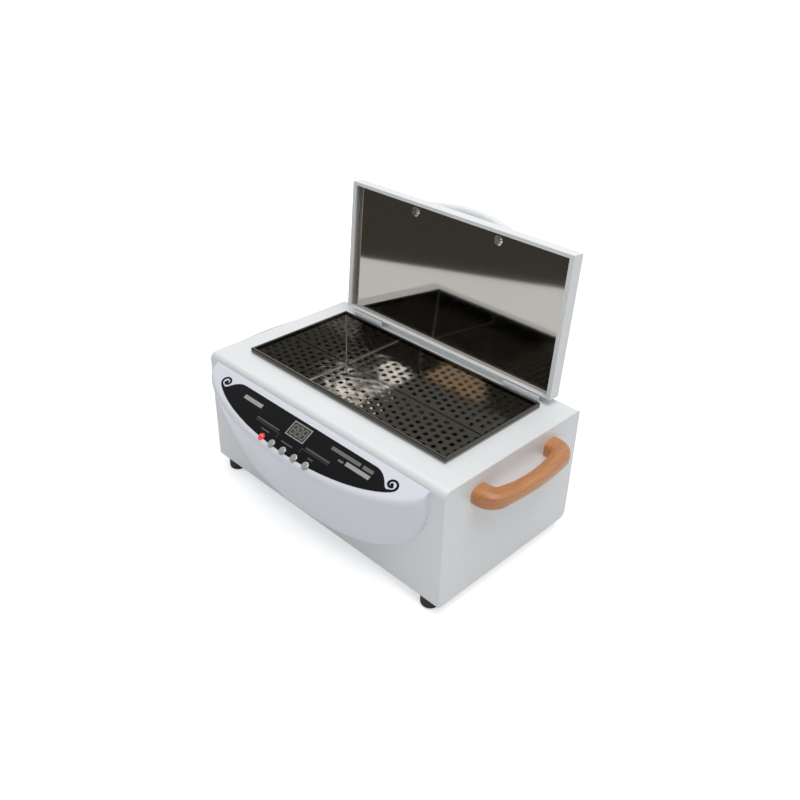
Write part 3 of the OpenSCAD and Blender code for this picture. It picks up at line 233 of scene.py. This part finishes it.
def moulded(name, pale, dark, roughness=0.4, pore=0.8, depth=0.03, drift_size=25, specular=0.5):
    """A moulded plastic or rubber: a slow drift of colour under a fine pored skin."""
    material, tree, place = start(name)
    drift = add(tree, "ShaderNodeTexNoise", {"Vector": place, "Scale": across(drift_size), "Detail": 3.0})
    colour = add(
        tree,
        "ShaderNodeMix",
        {"Factor": drift.outputs["Fac"], "A": linear(pale), "B": linear(dark)},
        data_type="RGBA",
    )
    gloss = add(
        tree,
        "ShaderNodeMapRange",
        {"Value": drift.outputs["Fac"], "To Min": roughness * 0.85, "To Max": roughness * 1.15},
    )
    skin = add(tree, "ShaderNodeTexNoise", {"Vector": place, "Scale": across(pore), "Detail": 2.0})
    bump = add(
        tree,
        "ShaderNodeBump",
        {"Height": skin.outputs["Fac"], "Strength": 0.2, "Distance": depth * MM},
    )
    shade(
        tree,
        add(
            tree,
            "ShaderNodeBsdfPrincipled",
            {
                "Base Color": colour.outputs["Result"],
                "Roughness": gloss.outputs["Result"],
                "Normal": bump.outputs["Normal"],
                "Specular IOR Level": specular,
            },
        ),
    )
    return material


dress(
    moulded("black_rubber", "#2b2a2a", "#1d1c1c", roughness=0.7, pore=0.6, depth=0.08),
    "foot_rubber",
    "foot_front_left",
    "foot_front_right",
    "foot_rear_left",
    "foot_rear_right",
)


# THE CHAMBER
# A tub of bright stainless sheet, welded at its corners and hemmed round the rim.
# It is nearly a mirror, a little wavy from the press, and faintly straw brown from the heat.
case_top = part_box("outer_case")[1].z
# the chamber's rim above this height is painted dark grey, a painted dark reflection
HEM_Z = case_top + 1.2 * MM
HEM_FADE = 0.3 * MM
HEM_PAINTED_REFLECTION = "#575551"


def stainless(name, bright, straw, roughness, wave_size, wave_depth, painted_hem=False):
    """Polished stainless sheet: its waves are so many millimetres across and deep."""
    material, tree, place = start(name)
    heat = add(tree, "ShaderNodeTexNoise", {"Vector": place, "Scale": across(60), "Detail": 3.0})
    colour = add(
        tree,
        "ShaderNodeMix",
        {"Factor": heat.outputs["Fac"], "A": linear(bright), "B": linear(straw)},
        data_type="RGBA",
    )
    if painted_hem:
        # painted dark reflection: above the case's top the rim's fold is painted dark grey, standing in for
        # the dark reflection that the polished rim shows
        height = add(tree, "ShaderNodeSeparateXYZ", {"Vector": place})
        above = add(
            tree,
            "ShaderNodeMapRange",
            {"Value": height.outputs["Z"], "From Min": HEM_Z - HEM_FADE, "From Max": HEM_Z + HEM_FADE},
        )
        colour = add(
            tree,
            "ShaderNodeMix",
            {"Factor": above.outputs["Result"], "A": colour.outputs["Result"], "B": linear(HEM_PAINTED_REFLECTION)},
            data_type="RGBA",
        )
    rub = add(
        tree,
        "ShaderNodeTexNoise",
        {"Vector": place, "Scale": across(3), "Detail": 5.0, "Roughness": 0.7},
    )
    gloss = add(
        tree,
        "ShaderNodeMapRange",
        {"Value": rub.outputs["Fac"], "To Min": roughness * 0.7, "To Max": roughness * 1.4},
    )
    wave = add(tree, "ShaderNodeTexNoise", {"Vector": place, "Scale": across(wave_size), "Detail": 1.0})
    bump = add(
        tree,
        "ShaderNodeBump",
        {"Height": wave.outputs["Fac"], "Strength": 1.0, "Distance": wave_depth * MM},
    )
    shade(
        tree,
        add(
            tree,
            "ShaderNodeBsdfPrincipled",
            {
                "Base Color": colour.outputs["Result"],
                "Metallic": 1.0,
                "Roughness": gloss.outputs["Result"],
                "Normal": bump.outputs["Normal"],
            },
        ),
    )
    return material


# the chamber's rim gets its painted dark reflection here
dress(
    stainless("chamber_stainless", "#c0bfbd", "#bab7b1", 0.06, 35, 0.15, painted_hem=True),
    "chamber_steel",
    "chamber_tub",
)


# THE TRAY
# Punched stainless sheet that lies in the chamber. The punching leaves it uneven,
# so that it throws back broken patches of light.
dress(stainless("tray_stainless", "#c6c5c3", "#bfbcb6", 0.09, 18, 0.35), "tray_steel", "perforated_tray")


# THE SEAMS
# The welds in the chamber's corners are ground to a narrow bright round, as are the tray's
# folded edges. The edge along the back stays dark in its gap.
tub_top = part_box("chamber_tub")[1].z
tray_low, tray_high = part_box("perforated_tray")
TRAY_GAP = 0.8 * MM  # between the tray and the chamber's walls
SEAM_R = 0.7 * MM
SEAM_END = 3 * MM  # how far under the rim a weld stops
EDGE_R = 0.6 * MM
EDGE_DROP = 0.3 * MM  # how far an edge's middle lies under the tray's face
ground_seam = worn_metal("ground_weld", "#d6d5d2", "#c4c2be", 0.3, 4.0)


def finish_piece(name, bm, material, body):
    """Makes a closed mesh of the object's own, that rides on a body."""
    bmesh.ops.remove_doubles(bm, verts=bm.verts, dist=1e-7)
    bmesh.ops.recalc_face_normals(bm, faces=bm.faces)
    mesh = bpy.data.meshes.new(name)
    bm.to_mesh(mesh)
    bm.free()
    piece = bpy.data.objects.new(name, mesh)
    bpy.context.scene.collection.objects.link(piece)
    mesh.materials.append(material)
    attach(piece, body)


def rod(bm, first, last, radius):
    """A round rod from one point to another."""
    run = Vector(last) - Vector(first)
    turn = run.to_track_quat("Z", "Y").to_matrix().to_4x4()
    place = Matrix.Translation((Vector(first) + Vector(last)) / 2) @ turn
    bmesh.ops.create_cone(
        bm, cap_ends=True, segments=12, radius1=radius, radius2=radius, depth=run.length, matrix=place
    )


seams = bmesh.new()
for x in (tray_low.x - TRAY_GAP, tray_high.x + TRAY_GAP):
    for y in (tray_low.y - TRAY_GAP, tray_high.y + TRAY_GAP):
        rod(seams, (x, y, tray_high.z), (x, y, tub_top - SEAM_END), SEAM_R)
finish_piece("chamber_seams", seams, ground_seam, "case")

edges = bmesh.new()
edge_z = tray_high.z - EDGE_DROP
corners = [
    (tray_low.x, tray_high.y, edge_z),
    (tray_low.x, tray_low.y, edge_z),
    (tray_high.x, tray_low.y, edge_z),
    (tray_high.x, tray_high.y, edge_z),
]
for first, last in zip(corners, corners[1:]):
    rod(edges, first, last, EDGE_R)
finish_piece("tray_edges", edges, ground_seam, "case")


# THE HEATER
# A sheathed element on steel straps under the chamber, in a jacket of ceramic fibre.
# The sheath is dull grey from its own heat, and the fibre is soft and cream.
dress(worn_metal("heater_sheath", "#7d7772", "#5e5650", 0.45, 8.0), "heater_sheath", "heating_element")
dress(
    worn_metal("strap_steel", "#a9a8a3", "#8f8c86", 0.35, 5.0, (1, 6, 1)),
    "strap_steel",
    "heater_straps",
    "temperature_probe",
)


def ceramic_fibre(name):
    """A blanket of clumped fibre with no shine."""
    material, tree, place = start(name)
    clump = add(
        tree,
        "ShaderNodeTexNoise",
        {"Vector": place, "Scale": across(4), "Detail": 8.0, "Roughness": 0.7, "Distortion": 1.5},
    )
    colour = add(
        tree,
        "ShaderNodeMix",
        {"Factor": clump.outputs["Fac"], "A": linear("#e6e0d2"), "B": linear("#cfc6b3")},
        data_type="RGBA",
    )
    bump = add(
        tree,
        "ShaderNodeBump",
        {"Height": clump.outputs["Fac"], "Strength": 0.8, "Distance": 0.6 * MM},
    )
    shade(
        tree,
        add(
            tree,
            "ShaderNodeBsdfPrincipled",
            {
                "Base Color": colour.outputs["Result"],
                "Roughness": 0.95,
                "Normal": bump.outputs["Normal"],
                "Sheen Weight": 0.3,
            },
        ),
    )
    return material


dress(ceramic_fibre("ceramic_fibre"), "insulation_fibre", "insulation_jacket", "lid_insulation")


# THE CONTROL MOULDING
# A bow-fronted moulding of white ABS, clipped and screwed to the case's front.
# It is cooler and smoother than the coated steel, with a soft shine along its rounded edge.
dress(
    moulded("moulded_abs", "#e9eaef", "#e3e5ec", roughness=0.28, pore=1.2, depth=0.01, drift_size=90),
    "fascia_white",
    "control_fascia",
)


# THE LABEL
# A black overlay of printed polyester, cut with a scroll at each end. It has a satin shine.
# Plain grey strokes stand where such a label has its print.
label_film = moulded(
    "polyester_film", "#0f0f13", "#0c0c0f", roughness=0.24, pore=0.5, depth=0.004, specular=0.12
)
dress(label_film, "label_black", "control_label")

SLOPE = math.radians(30)  # of the moulding's face, from the level
LABEL_T = 0.4 * MM
INK_T = 0.05 * MM
label_low, label_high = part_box("control_label")
label_mid = (label_low.x + label_high.x) / 2
film_out = Vector((0, -math.sin(SLOPE), math.cos(SLOPE)))
film_down = Vector((0, -math.cos(SLOPE), -math.sin(SLOPE)))
film_top = Vector((0, label_high.y, label_high.z - LABEL_T * math.cos(SLOPE)))


def on_film(x, down, lift):
    """Place on the label: x from the case's middle, then how far below its top edge and how far proud."""
    spot = film_top + film_down * down + film_out * lift
    turn = Matrix((Vector((1, 0, 0)), -film_down, film_out)).transposed().to_4x4()
    return Matrix.Translation(Vector((x, 0, 0)) + spot) @ turn


# each stroke in millimetres: its left and right ends from the label's middle, then its upper and
# lower edges from the label's top
for name, ink, strokes in (
    ("print_bright", "#a3a29f", ((-82.5, -55.5, 7.0, 11.0), (63.5, 92.5, 10.1, 13.9))),
    (
        "print_grey",
        "#6b6a68",
        ((40.5, 77.0, 4.8, 8.2), (80.0, 92.5, 4.8, 8.2), (54.5, 61.0, 11.8, 13.8)),
    ),
    (
        "print_dim",
        "#4d4c4b",
        (
            (-51.5, -19.5, 18.3, 19.9),
            (-51.5, -17.0, 21.2, 21.6),
            (-17.4, -17.0, 21.2, 26.4),
            (18.5, 49.5, 18.4, 20.2),
            (15.0, 49.5, 21.4, 21.8),
            (15.0, 15.4, 21.4, 26.4),
            (-38.5, -27.0, 25.2, 26.6),
            (-9.5, 6.0, 25.2, 26.6),
            (27.5, 34.0, 25.3, 26.7),
        ),
    ),
):
    bm = bmesh.new()
    for left, right, top, bottom in strokes:
        size = Matrix.Diagonal(((right - left) * MM, (bottom - top) * MM, INK_T, 1))
        x, down = label_mid + (left + right) / 2 * MM, (top + bottom) / 2 * MM
        place = on_film(x, down, LABEL_T + INK_T / 2)
        bmesh.ops.create_cube(bm, size=1, matrix=place @ size)
    finish_piece(name, bm, moulded(name + "_ink", ink, ink, 0.35, 0.5, 0.004), "case")


# THE DISPLAY
# A three-digit display behind a smoked window, in a light grey frame.
# Its unlit segments are beige grey, slightly proud of the dark face.
dress(
    moulded("display_surround", "#b2b1ac", "#a4a39e", roughness=0.4, pore=0.6),
    "display_grey",
    "display_frame",
)
smoked = moulded("display_window", "#2e2d2a", "#272623", roughness=0.18, pore=0.5, depth=0.002)
dress(smoked, "display_face", "display_module")

DIGIT_W, DIGIT_H, DIGIT_PITCH = 4.6 * MM, 9.4 * MM, 6.7 * MM
STROKE, SEGMENT_T = 0.95 * MM, 0.12 * MM
face_low, face_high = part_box("display_module")


def segment(bm, length, matrix):
    """One segment: a flat bar with pointed ends."""
    half, tip = length / 2 - STROKE * 0.1, STROKE / 2
    lower = [(-half, 0), (-half + tip, -tip), (half - tip, -tip)]
    outline = lower + [(-x, -y) for x, y in lower]
    ring = [bm.verts.new((x, y, 0)) for x, y in outline]
    face = bm.faces.new(ring)
    rise = bmesh.ops.extrude_face_region(bm, geom=[face])
    tops = [v for v in rise["geom"] if isinstance(v, bmesh.types.BMVert)]
    bmesh.ops.translate(bm, vec=(0, 0, SEGMENT_T), verts=tops)
    bmesh.ops.transform(bm, matrix=matrix, verts=ring + tops)


display_mid = (face_low + face_high) / 2
face_down = (film_top - display_mid).dot(-film_down)
# the module's outer face: the furthest of its corners along the outward direction
face_lift = max((Vector(v.co) - film_top).dot(film_out) for v in node["display_module"].data.vertices)
digits = bmesh.new()
upright = Matrix.Rotation(math.radians(90), 4, "Z")
for column in (-1, 0, 1):
    middle = on_film(display_mid.x + column * DIGIT_PITCH, face_down, face_lift)
    for aside, up, turned in (
        (0, DIGIT_H / 2, False),
        (0, 0, False),
        (0, -DIGIT_H / 2, False),
        (-DIGIT_W / 2, DIGIT_H / 4, True),
        (DIGIT_W / 2, DIGIT_H / 4, True),
        (-DIGIT_W / 2, -DIGIT_H / 4, True),
        (DIGIT_W / 2, -DIGIT_H / 4, True),
    ):
        length = DIGIT_H / 2 if turned else DIGIT_W
        spot = middle @ Matrix.Translation((aside, up, 0))
        segment(digits, length, spot @ upright if turned else spot)
segment_beige = moulded("unlit_segment", "#7f7c70", "#747165", roughness=0.45, pore=0.4, depth=0.005)
finish_piece("display_digits", digits, segment_beige, "case")


# THE LAMP AND THE BUTTONS
# The lamp is a round red lens that glows. The four buttons are domed caps of turned metal,
# plated, with a dark gap round each.
def glowing_lens(name):
    """Red acrylic, lit from behind and polished."""
    material, tree, place = start(name)
    drift = add(tree, "ShaderNodeTexNoise", {"Vector": place, "Scale": across(2), "Detail": 1.0})
    colour = add(
        tree,
        "ShaderNodeMix",
        {"Factor": drift.outputs["Fac"], "A": linear("#e8263c"), "B": linear("#d31a30")},
        data_type="RGBA",
    )
    shade(
        tree,
        add(
            tree,
            "ShaderNodeBsdfPrincipled",
            {
                "Base Color": colour.outputs["Result"],
                "Roughness": 0.2,
                "Emission Color": linear("#ff4a5c"),
                "Emission Strength": 0.35,
                "Coat Weight": 0.5,
            },
        ),
    )
    return material


dress(glowing_lens("lamp_lens"), "lamp_red", "indicator_lamp")
dress(
    worn_metal("plated_button", "#c9c8c6", "#a3a19e", 0.28, 2.0),
    "button_metal",
    "button_1",
    "button_2",
    "button_3",
    "button_4",
)


# THE BOARDS
# Two circuit boards of green laminate behind the moulding and on the base, with black switches,
# a blue relay, a taped transformer, a green terminal block and brass standoffs.
dress(
    moulded("board_laminate", "#2c5a3c", "#244c33", 0.45, 1.0),
    "board_laminate",
    "control_board",
    "power_board",
)
dress(
    moulded("black_phenolic", "#232324", "#1a1a1b", 0.45, 0.7),
    "component_dark",
    "button_switches",
    "thermal_cutout",
    "power_inlet",
)
dress(moulded("relay_case", "#2f5f9e", "#285289", 0.35, 1.0), "relay_blue", "power_relay")
dress(moulded("winding_tape", "#d8b64a", "#c7a43c", 0.4, 1.5), "transformer_tape", "power_transformer")
dress(moulded("terminal_nylon", "#3d8a55", "#347a4a", 0.4, 0.8), "terminal_green", "terminal_block")
dress(worn_metal("turned_brass", "#cdb071", "#b3935a", 0.3, 3.0), "standoff_brass", "power_board_standoffs")


# THE HANDLES
# A bowed grip of turned and bent beech on each side, under a clear lacquer. The grain runs along
# the grip, with the short dark flecks that beech has.
def lacquered_beech(name):
    """Beech whose grain and flecks are drawn out along Y, the way a grip runs."""
    material, tree, place = start(name)
    along = add(tree, "ShaderNodeMapping", {"Vector": place, "Scale": (1.0, 0.09, 1.0)})
    grain = add(
        tree,
        "ShaderNodeTexNoise",
        {"Vector": along.outputs["Vector"], "Scale": across(1.8), "Detail": 6.0, "Distortion": 0.6},
    )
    # a wave texture runs 20 radians for a unit of its scale, so its rings come 2 pi x 9 mm apart
    rings = add(
        tree,
        "ShaderNodeTexWave",
        {"Vector": along.outputs["Vector"], "Scale": across(9) / 20, "Distortion": 6.0, "Detail": 2.0},
    )
    figure = add(
        tree,
        "ShaderNodeMix",
        {"Factor": 0.4, "A": grain.outputs["Fac"], "B": rings.outputs["Fac"]},
        data_type="FLOAT",
    )
    colour = add(tree, "ShaderNodeValToRGB", {"Fac": figure.outputs["Result"]})
    colour.color_ramp.elements[0].color = linear("#b87745")
    colour.color_ramp.elements[0].position = 0.25
    colour.color_ramp.elements[1].color = linear("#d59a61")
    colour.color_ramp.elements[1].position = 0.75
    fleck_place = add(tree, "ShaderNodeMapping", {"Vector": place, "Scale": (1.0, 0.22, 1.0)})
    fleck = add(
        tree, "ShaderNodeTexVoronoi", {"Vector": fleck_place.outputs["Vector"], "Scale": across(1.6)}
    )
    fleck_mask = add(
        tree,
        "ShaderNodeMapRange",
        {"Value": fleck.outputs["Distance"], "From Min": 0.12, "From Max": 0.22, "To Min": 0.5, "To Max": 0.0},
    )
    flecked = add(
        tree,
        "ShaderNodeMix",
        {"Factor": fleck_mask.outputs["Result"], "A": colour.outputs["Color"], "B": linear("#a2683b")},
        data_type="RGBA",
    )
    bump = add(
        tree,
        "ShaderNodeBump",
        {"Height": grain.outputs["Fac"], "Strength": 0.15, "Distance": 0.05 * MM},
    )
    shade(
        tree,
        add(
            tree,
            "ShaderNodeBsdfPrincipled",
            {
                "Base Color": flecked.outputs["Result"],
                "Roughness": 0.38,
                "Normal": bump.outputs["Normal"],
                "Coat Weight": 0.35,
                "Coat Roughness": 0.2,
            },
        ),
    )
    return material


dress(lacquered_beech("lacquered_beech"), "handle_wood", "left_handle", "right_handle")


# THE HINGES
# Two butt hinges of rolled sheet, screwed to the case and the lid and painted with them.
# Their coat is thinner and greyer than the case's. The pins are bare.
hinge_coat = powder_coat("painted_hinge", "#e4e8ea", "#dcdfe2", peel_size=1.2, roughness=0.36)
dress(
    hinge_coat,
    "hinge_white",
    "hinge_left_case_leaf",
    "hinge_left_lid_leaf",
    "hinge_right_case_leaf",
    "hinge_right_lid_leaf",
)


# THE LID
# A folded pan with a mirror liner inside, and a white bar handle outside whose two screws come
# through the liner in cup washers. The pan's free edge turns in at the front and the sides.
dress(stainless("mirror_stainless", "#bdbab3", "#b8b4ab", 0.05, 90, 0.1), "liner_mirror", "lid_liner")
dress(case_coat, "white_paint", "lid_handle")

pin_low, pin_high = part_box("hinge_left_pin")
hinge_axis = Vector((0, (pin_low.y + pin_high.y) / 2, (pin_low.z + pin_high.z) / 2))
OPEN_ANGLE = math.radians(94)
KNUCKLE_R, KNUCKLE_GAP = 3.5 * MM, 0.1 * MM
LID_D, LID_LIFT = 138 * MM, 0.9 * MM
SHEET_T = 1.0 * MM
SIDE_LIP, FRONT_LIP = 4.6 * MM, 3.4 * MM
LIP_SETBACK = 0.02 * MM  # keeps the lip's face off the pan's edge

# the lip is laid out on the shut lid, then swung open with it
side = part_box("lid_shell")[1].x
lid_back = hinge_axis.y - KNUCKLE_R - KNUCKLE_GAP
lid_front = lid_back - LID_D
lip_z = case_top + LID_LIFT + LIP_SETBACK + SHEET_T / 2
swing = (
    Matrix.Translation(hinge_axis)
    @ Matrix.Rotation(-OPEN_ANGLE, 4, "X")
    @ Matrix.Translation(-hinge_axis)
)
lip = bmesh.new()
for low_x, high_x, low_y, high_y in (
    (-side + SHEET_T / 2, -side + SIDE_LIP, lid_front + SHEET_T / 2, lid_back - SHEET_T),
    (side - SIDE_LIP, side - SHEET_T / 2, lid_front + SHEET_T / 2, lid_back - SHEET_T),
    (-side + SIDE_LIP, side - SIDE_LIP, lid_front + SHEET_T / 2, lid_front + FRONT_LIP),
):
    size = Matrix.Diagonal((high_x - low_x, high_y - low_y, SHEET_T, 1))
    middle = Matrix.Translation(((low_x + high_x) / 2, (low_y + high_y) / 2, lip_z))
    bmesh.ops.create_cube(lip, size=1, matrix=swing @ middle @ size)
finish_piece("lid_lip", lip, case_coat, "lid")


# THE STUDIO
# A white floor under soft light from above. Cards, which only polished metal sees, stand where
# the real one had a dark room, lamps or a tan wall round it.
SENSOR, LENS = 36, 38.606
VIEW_AZIMUTH, VIEW_ELEVATION, VIEW_ROLL = (math.radians(a) for a in (44.221, 31.432, 1.456))
VIEW_DISTANCE = 0.856118
VIEW_TARGET = Vector((-0.00291, 0.02747, 0.10176))
back = Vector(
    (
        math.sin(VIEW_AZIMUTH) * math.cos(VIEW_ELEVATION),
        -math.cos(VIEW_AZIMUTH) * math.cos(VIEW_ELEVATION),
        math.sin(VIEW_ELEVATION),
    )
)
right = Vector((math.cos(VIEW_AZIMUTH), math.sin(VIEW_AZIMUTH), 0))
up = back.cross(right)
rolled_right = right * math.cos(VIEW_ROLL) + up * math.sin(VIEW_ROLL)
rolled_up = up * math.cos(VIEW_ROLL) - right * math.sin(VIEW_ROLL)
camera_data = bpy.data.cameras.new("camera")
camera_data.sensor_width = SENSOR
camera_data.lens = LENS
camera = bpy.data.objects.new("camera", camera_data)
bpy.context.scene.collection.objects.link(camera)
turned = Matrix((rolled_right, rolled_up, back)).transposed().to_4x4()
camera.matrix_world = Matrix.Translation(VIEW_TARGET + back * VIEW_DISTANCE) @ turned
bpy.context.scene.camera = camera
bpy.context.scene.view_settings.view_transform = "Standard"

AMBIENT = 0.32
world = bpy.data.worlds.new("studio")
bpy.context.scene.world = world
world.use_nodes = True
tree = world.node_tree
tree.nodes.clear()
path = add(tree, "ShaderNodeLightPath")
seen = add(
    tree,
    "ShaderNodeMath",
    {0: path.outputs["Is Camera Ray"], 1: path.outputs["Is Glossy Ray"]},
    operation="ADD",
)
shown = add(
    tree,
    "ShaderNodeMath",
    {0: seen.outputs[0], 1: path.outputs["Is Transmission Ray"]},
    operation="ADD",
    use_clamp=True,
)
soft = add(tree, "ShaderNodeBackground", {"Color": linear("#f4f7ff"), "Strength": AMBIENT})
white = add(tree, "ShaderNodeBackground", {"Color": (1, 1, 1, 1), "Strength": 1.0})
blend = add(tree, "ShaderNodeMixShader", {0: shown.outputs[0], 1: soft.outputs[0], 2: white.outputs[0]})
add(tree, "ShaderNodeOutputWorld", {"Surface": blend.outputs[0]})


def stage_sheet(name, width, depth, place, material):
    """A flat sheet of the studio."""
    bm = bmesh.new()
    bmesh.ops.create_grid(bm, x_segments=1, y_segments=1, size=0.5)
    bmesh.ops.transform(bm, matrix=place @ Matrix.Diagonal((width, depth, 1, 1)), verts=bm.verts)
    mesh = bpy.data.meshes.new(name)
    bm.to_mesh(mesh)
    bm.free()
    mesh.materials.append(material)
    made = bpy.data.objects.new(name, mesh)
    bpy.context.scene.collection.objects.link(made)
    return made


FLOOR_SIZE, FLOOR_DROP = 30, 0.2 * MM
SHADOW_REACH, GLOW_REACH = 0.3, 1.1
floor_paint, tree, place = start("floor_paper")
path = add(tree, "ShaderNodeLightPath")
seen = add(
    tree,
    "ShaderNodeMath",
    {0: path.outputs["Is Glossy Ray"], 1: 0.4, 2: path.outputs["Is Camera Ray"]},
    operation="MULTIPLY_ADD",
)
# near the object the paper glows only half as much, so that the shadow shows, and metal sees it dimmer
away = add(tree, "ShaderNodeVectorMath", {0: place}, operation="LENGTH")
paper_glow = add(
    tree,
    "ShaderNodeMapRange",
    {
        "Value": away.outputs["Value"],
        "From Min": SHADOW_REACH,
        "From Max": GLOW_REACH,
        "To Min": 0.55,
        "To Max": 1.0,
    },
)
lift = add(
    tree,
    "ShaderNodeMath",
    {0: seen.outputs[0], 1: paper_glow.outputs["Result"]},
    operation="MULTIPLY",
)
paper = add(tree, "ShaderNodeBsdfDiffuse", {"Color": linear("#f2f2f2")})
glow = add(tree, "ShaderNodeEmission", {"Color": (1, 1, 1, 1), "Strength": lift.outputs[0]})
shade(tree, add(tree, "ShaderNodeAddShader", {0: paper.outputs[0], 1: glow.outputs[0]}))
stage_sheet("floor", FLOOR_SIZE, FLOOR_SIZE, Matrix.Translation((0, 0, -FLOOR_DROP)), floor_paint)


def card(name, colour, strength, width, height, place):
    """A glowing sheet that only reflections in metal show."""
    paint, tree, at = start(name)
    shade(tree, add(tree, "ShaderNodeEmission", {"Color": linear(colour), "Strength": strength}))
    made = stage_sheet(name, width, height, place, paint)
    made.visible_camera = False
    made.visible_diffuse = False
    made.visible_shadow = False
    made.visible_transmission = False


def facing(spot, aim):
    """Place at a spot, turned to face another."""
    turn = (Vector(aim) - Vector(spot)).to_track_quat("Z", "Y").to_matrix().to_4x4()
    return Matrix.Translation(spot) @ turn


BOX_MIDDLE = (0, 0, 0.1)

# the dark floor beyond the white sheet starts along a slanting line, in front on the left
DARK_FLOOR, DARK_START, DARK_SLANT = 8.0, 0.67, math.radians(53.1)
slant = Matrix.Rotation(DARK_SLANT, 4, "Z")
outwards = Matrix.Translation((-DARK_START - DARK_FLOOR / 2, 0, 1 * MM))
card("far_floor", "#4b4843", 1.0, DARK_FLOOR, DARK_FLOOR, slant @ outwards)
card("far_room", "#7c7b76", 1.0, 7.5, 2.6, facing((-0.1, -1.8, 1.35), (0, 0, 0.15)))

# three small lamps round the lens, which the chamber's corner throws straight back: how far to the
# right of the lens and above it, then width and height, in millimetres
LENS_CLEARANCE = 20 * MM
lens = VIEW_TARGET + back * (VIEW_DISTANCE + LENS_CLEARANCE)
for number, aside, above, width, height in (
    (1, 8, 58, 50, 60),
    (2, -60, 80, 50, 40),
    (3, -112, 18, 60, 40),
):
    spot = lens + right * aside * MM + up * above * MM
    card(f"lens_lamp_{number}", "#ffffff", 6.0, width * MM, height * MM, facing(spot, VIEW_TARGET))
card("warm_wall", "#ffdcb0", 1.2, 0.3, 0.12, facing((-0.78, 0.8, 0.775), BOX_MIDDLE))


def soft_box(name, size, spot, power):
    """A square white lamp that faces the object."""
    lamp = bpy.data.lights.new(name, "AREA")
    lamp.shape = "SQUARE"
    lamp.size = size
    lamp.energy = power
    made = bpy.data.objects.new(name, lamp)
    bpy.context.scene.collection.objects.link(made)
    towards = (Vector(BOX_MIDDLE) - Vector(spot)).to_track_quat("-Z", "Y").to_matrix().to_4x4()
    made.matrix_world = Matrix.Translation(spot) @ towards


soft_box("overhead", 1.4, (0.5, -0.2, 1.7), 19.0)
soft_box("back_left", 1.2, (-1.1, 0.5, 1.5), 5.0)
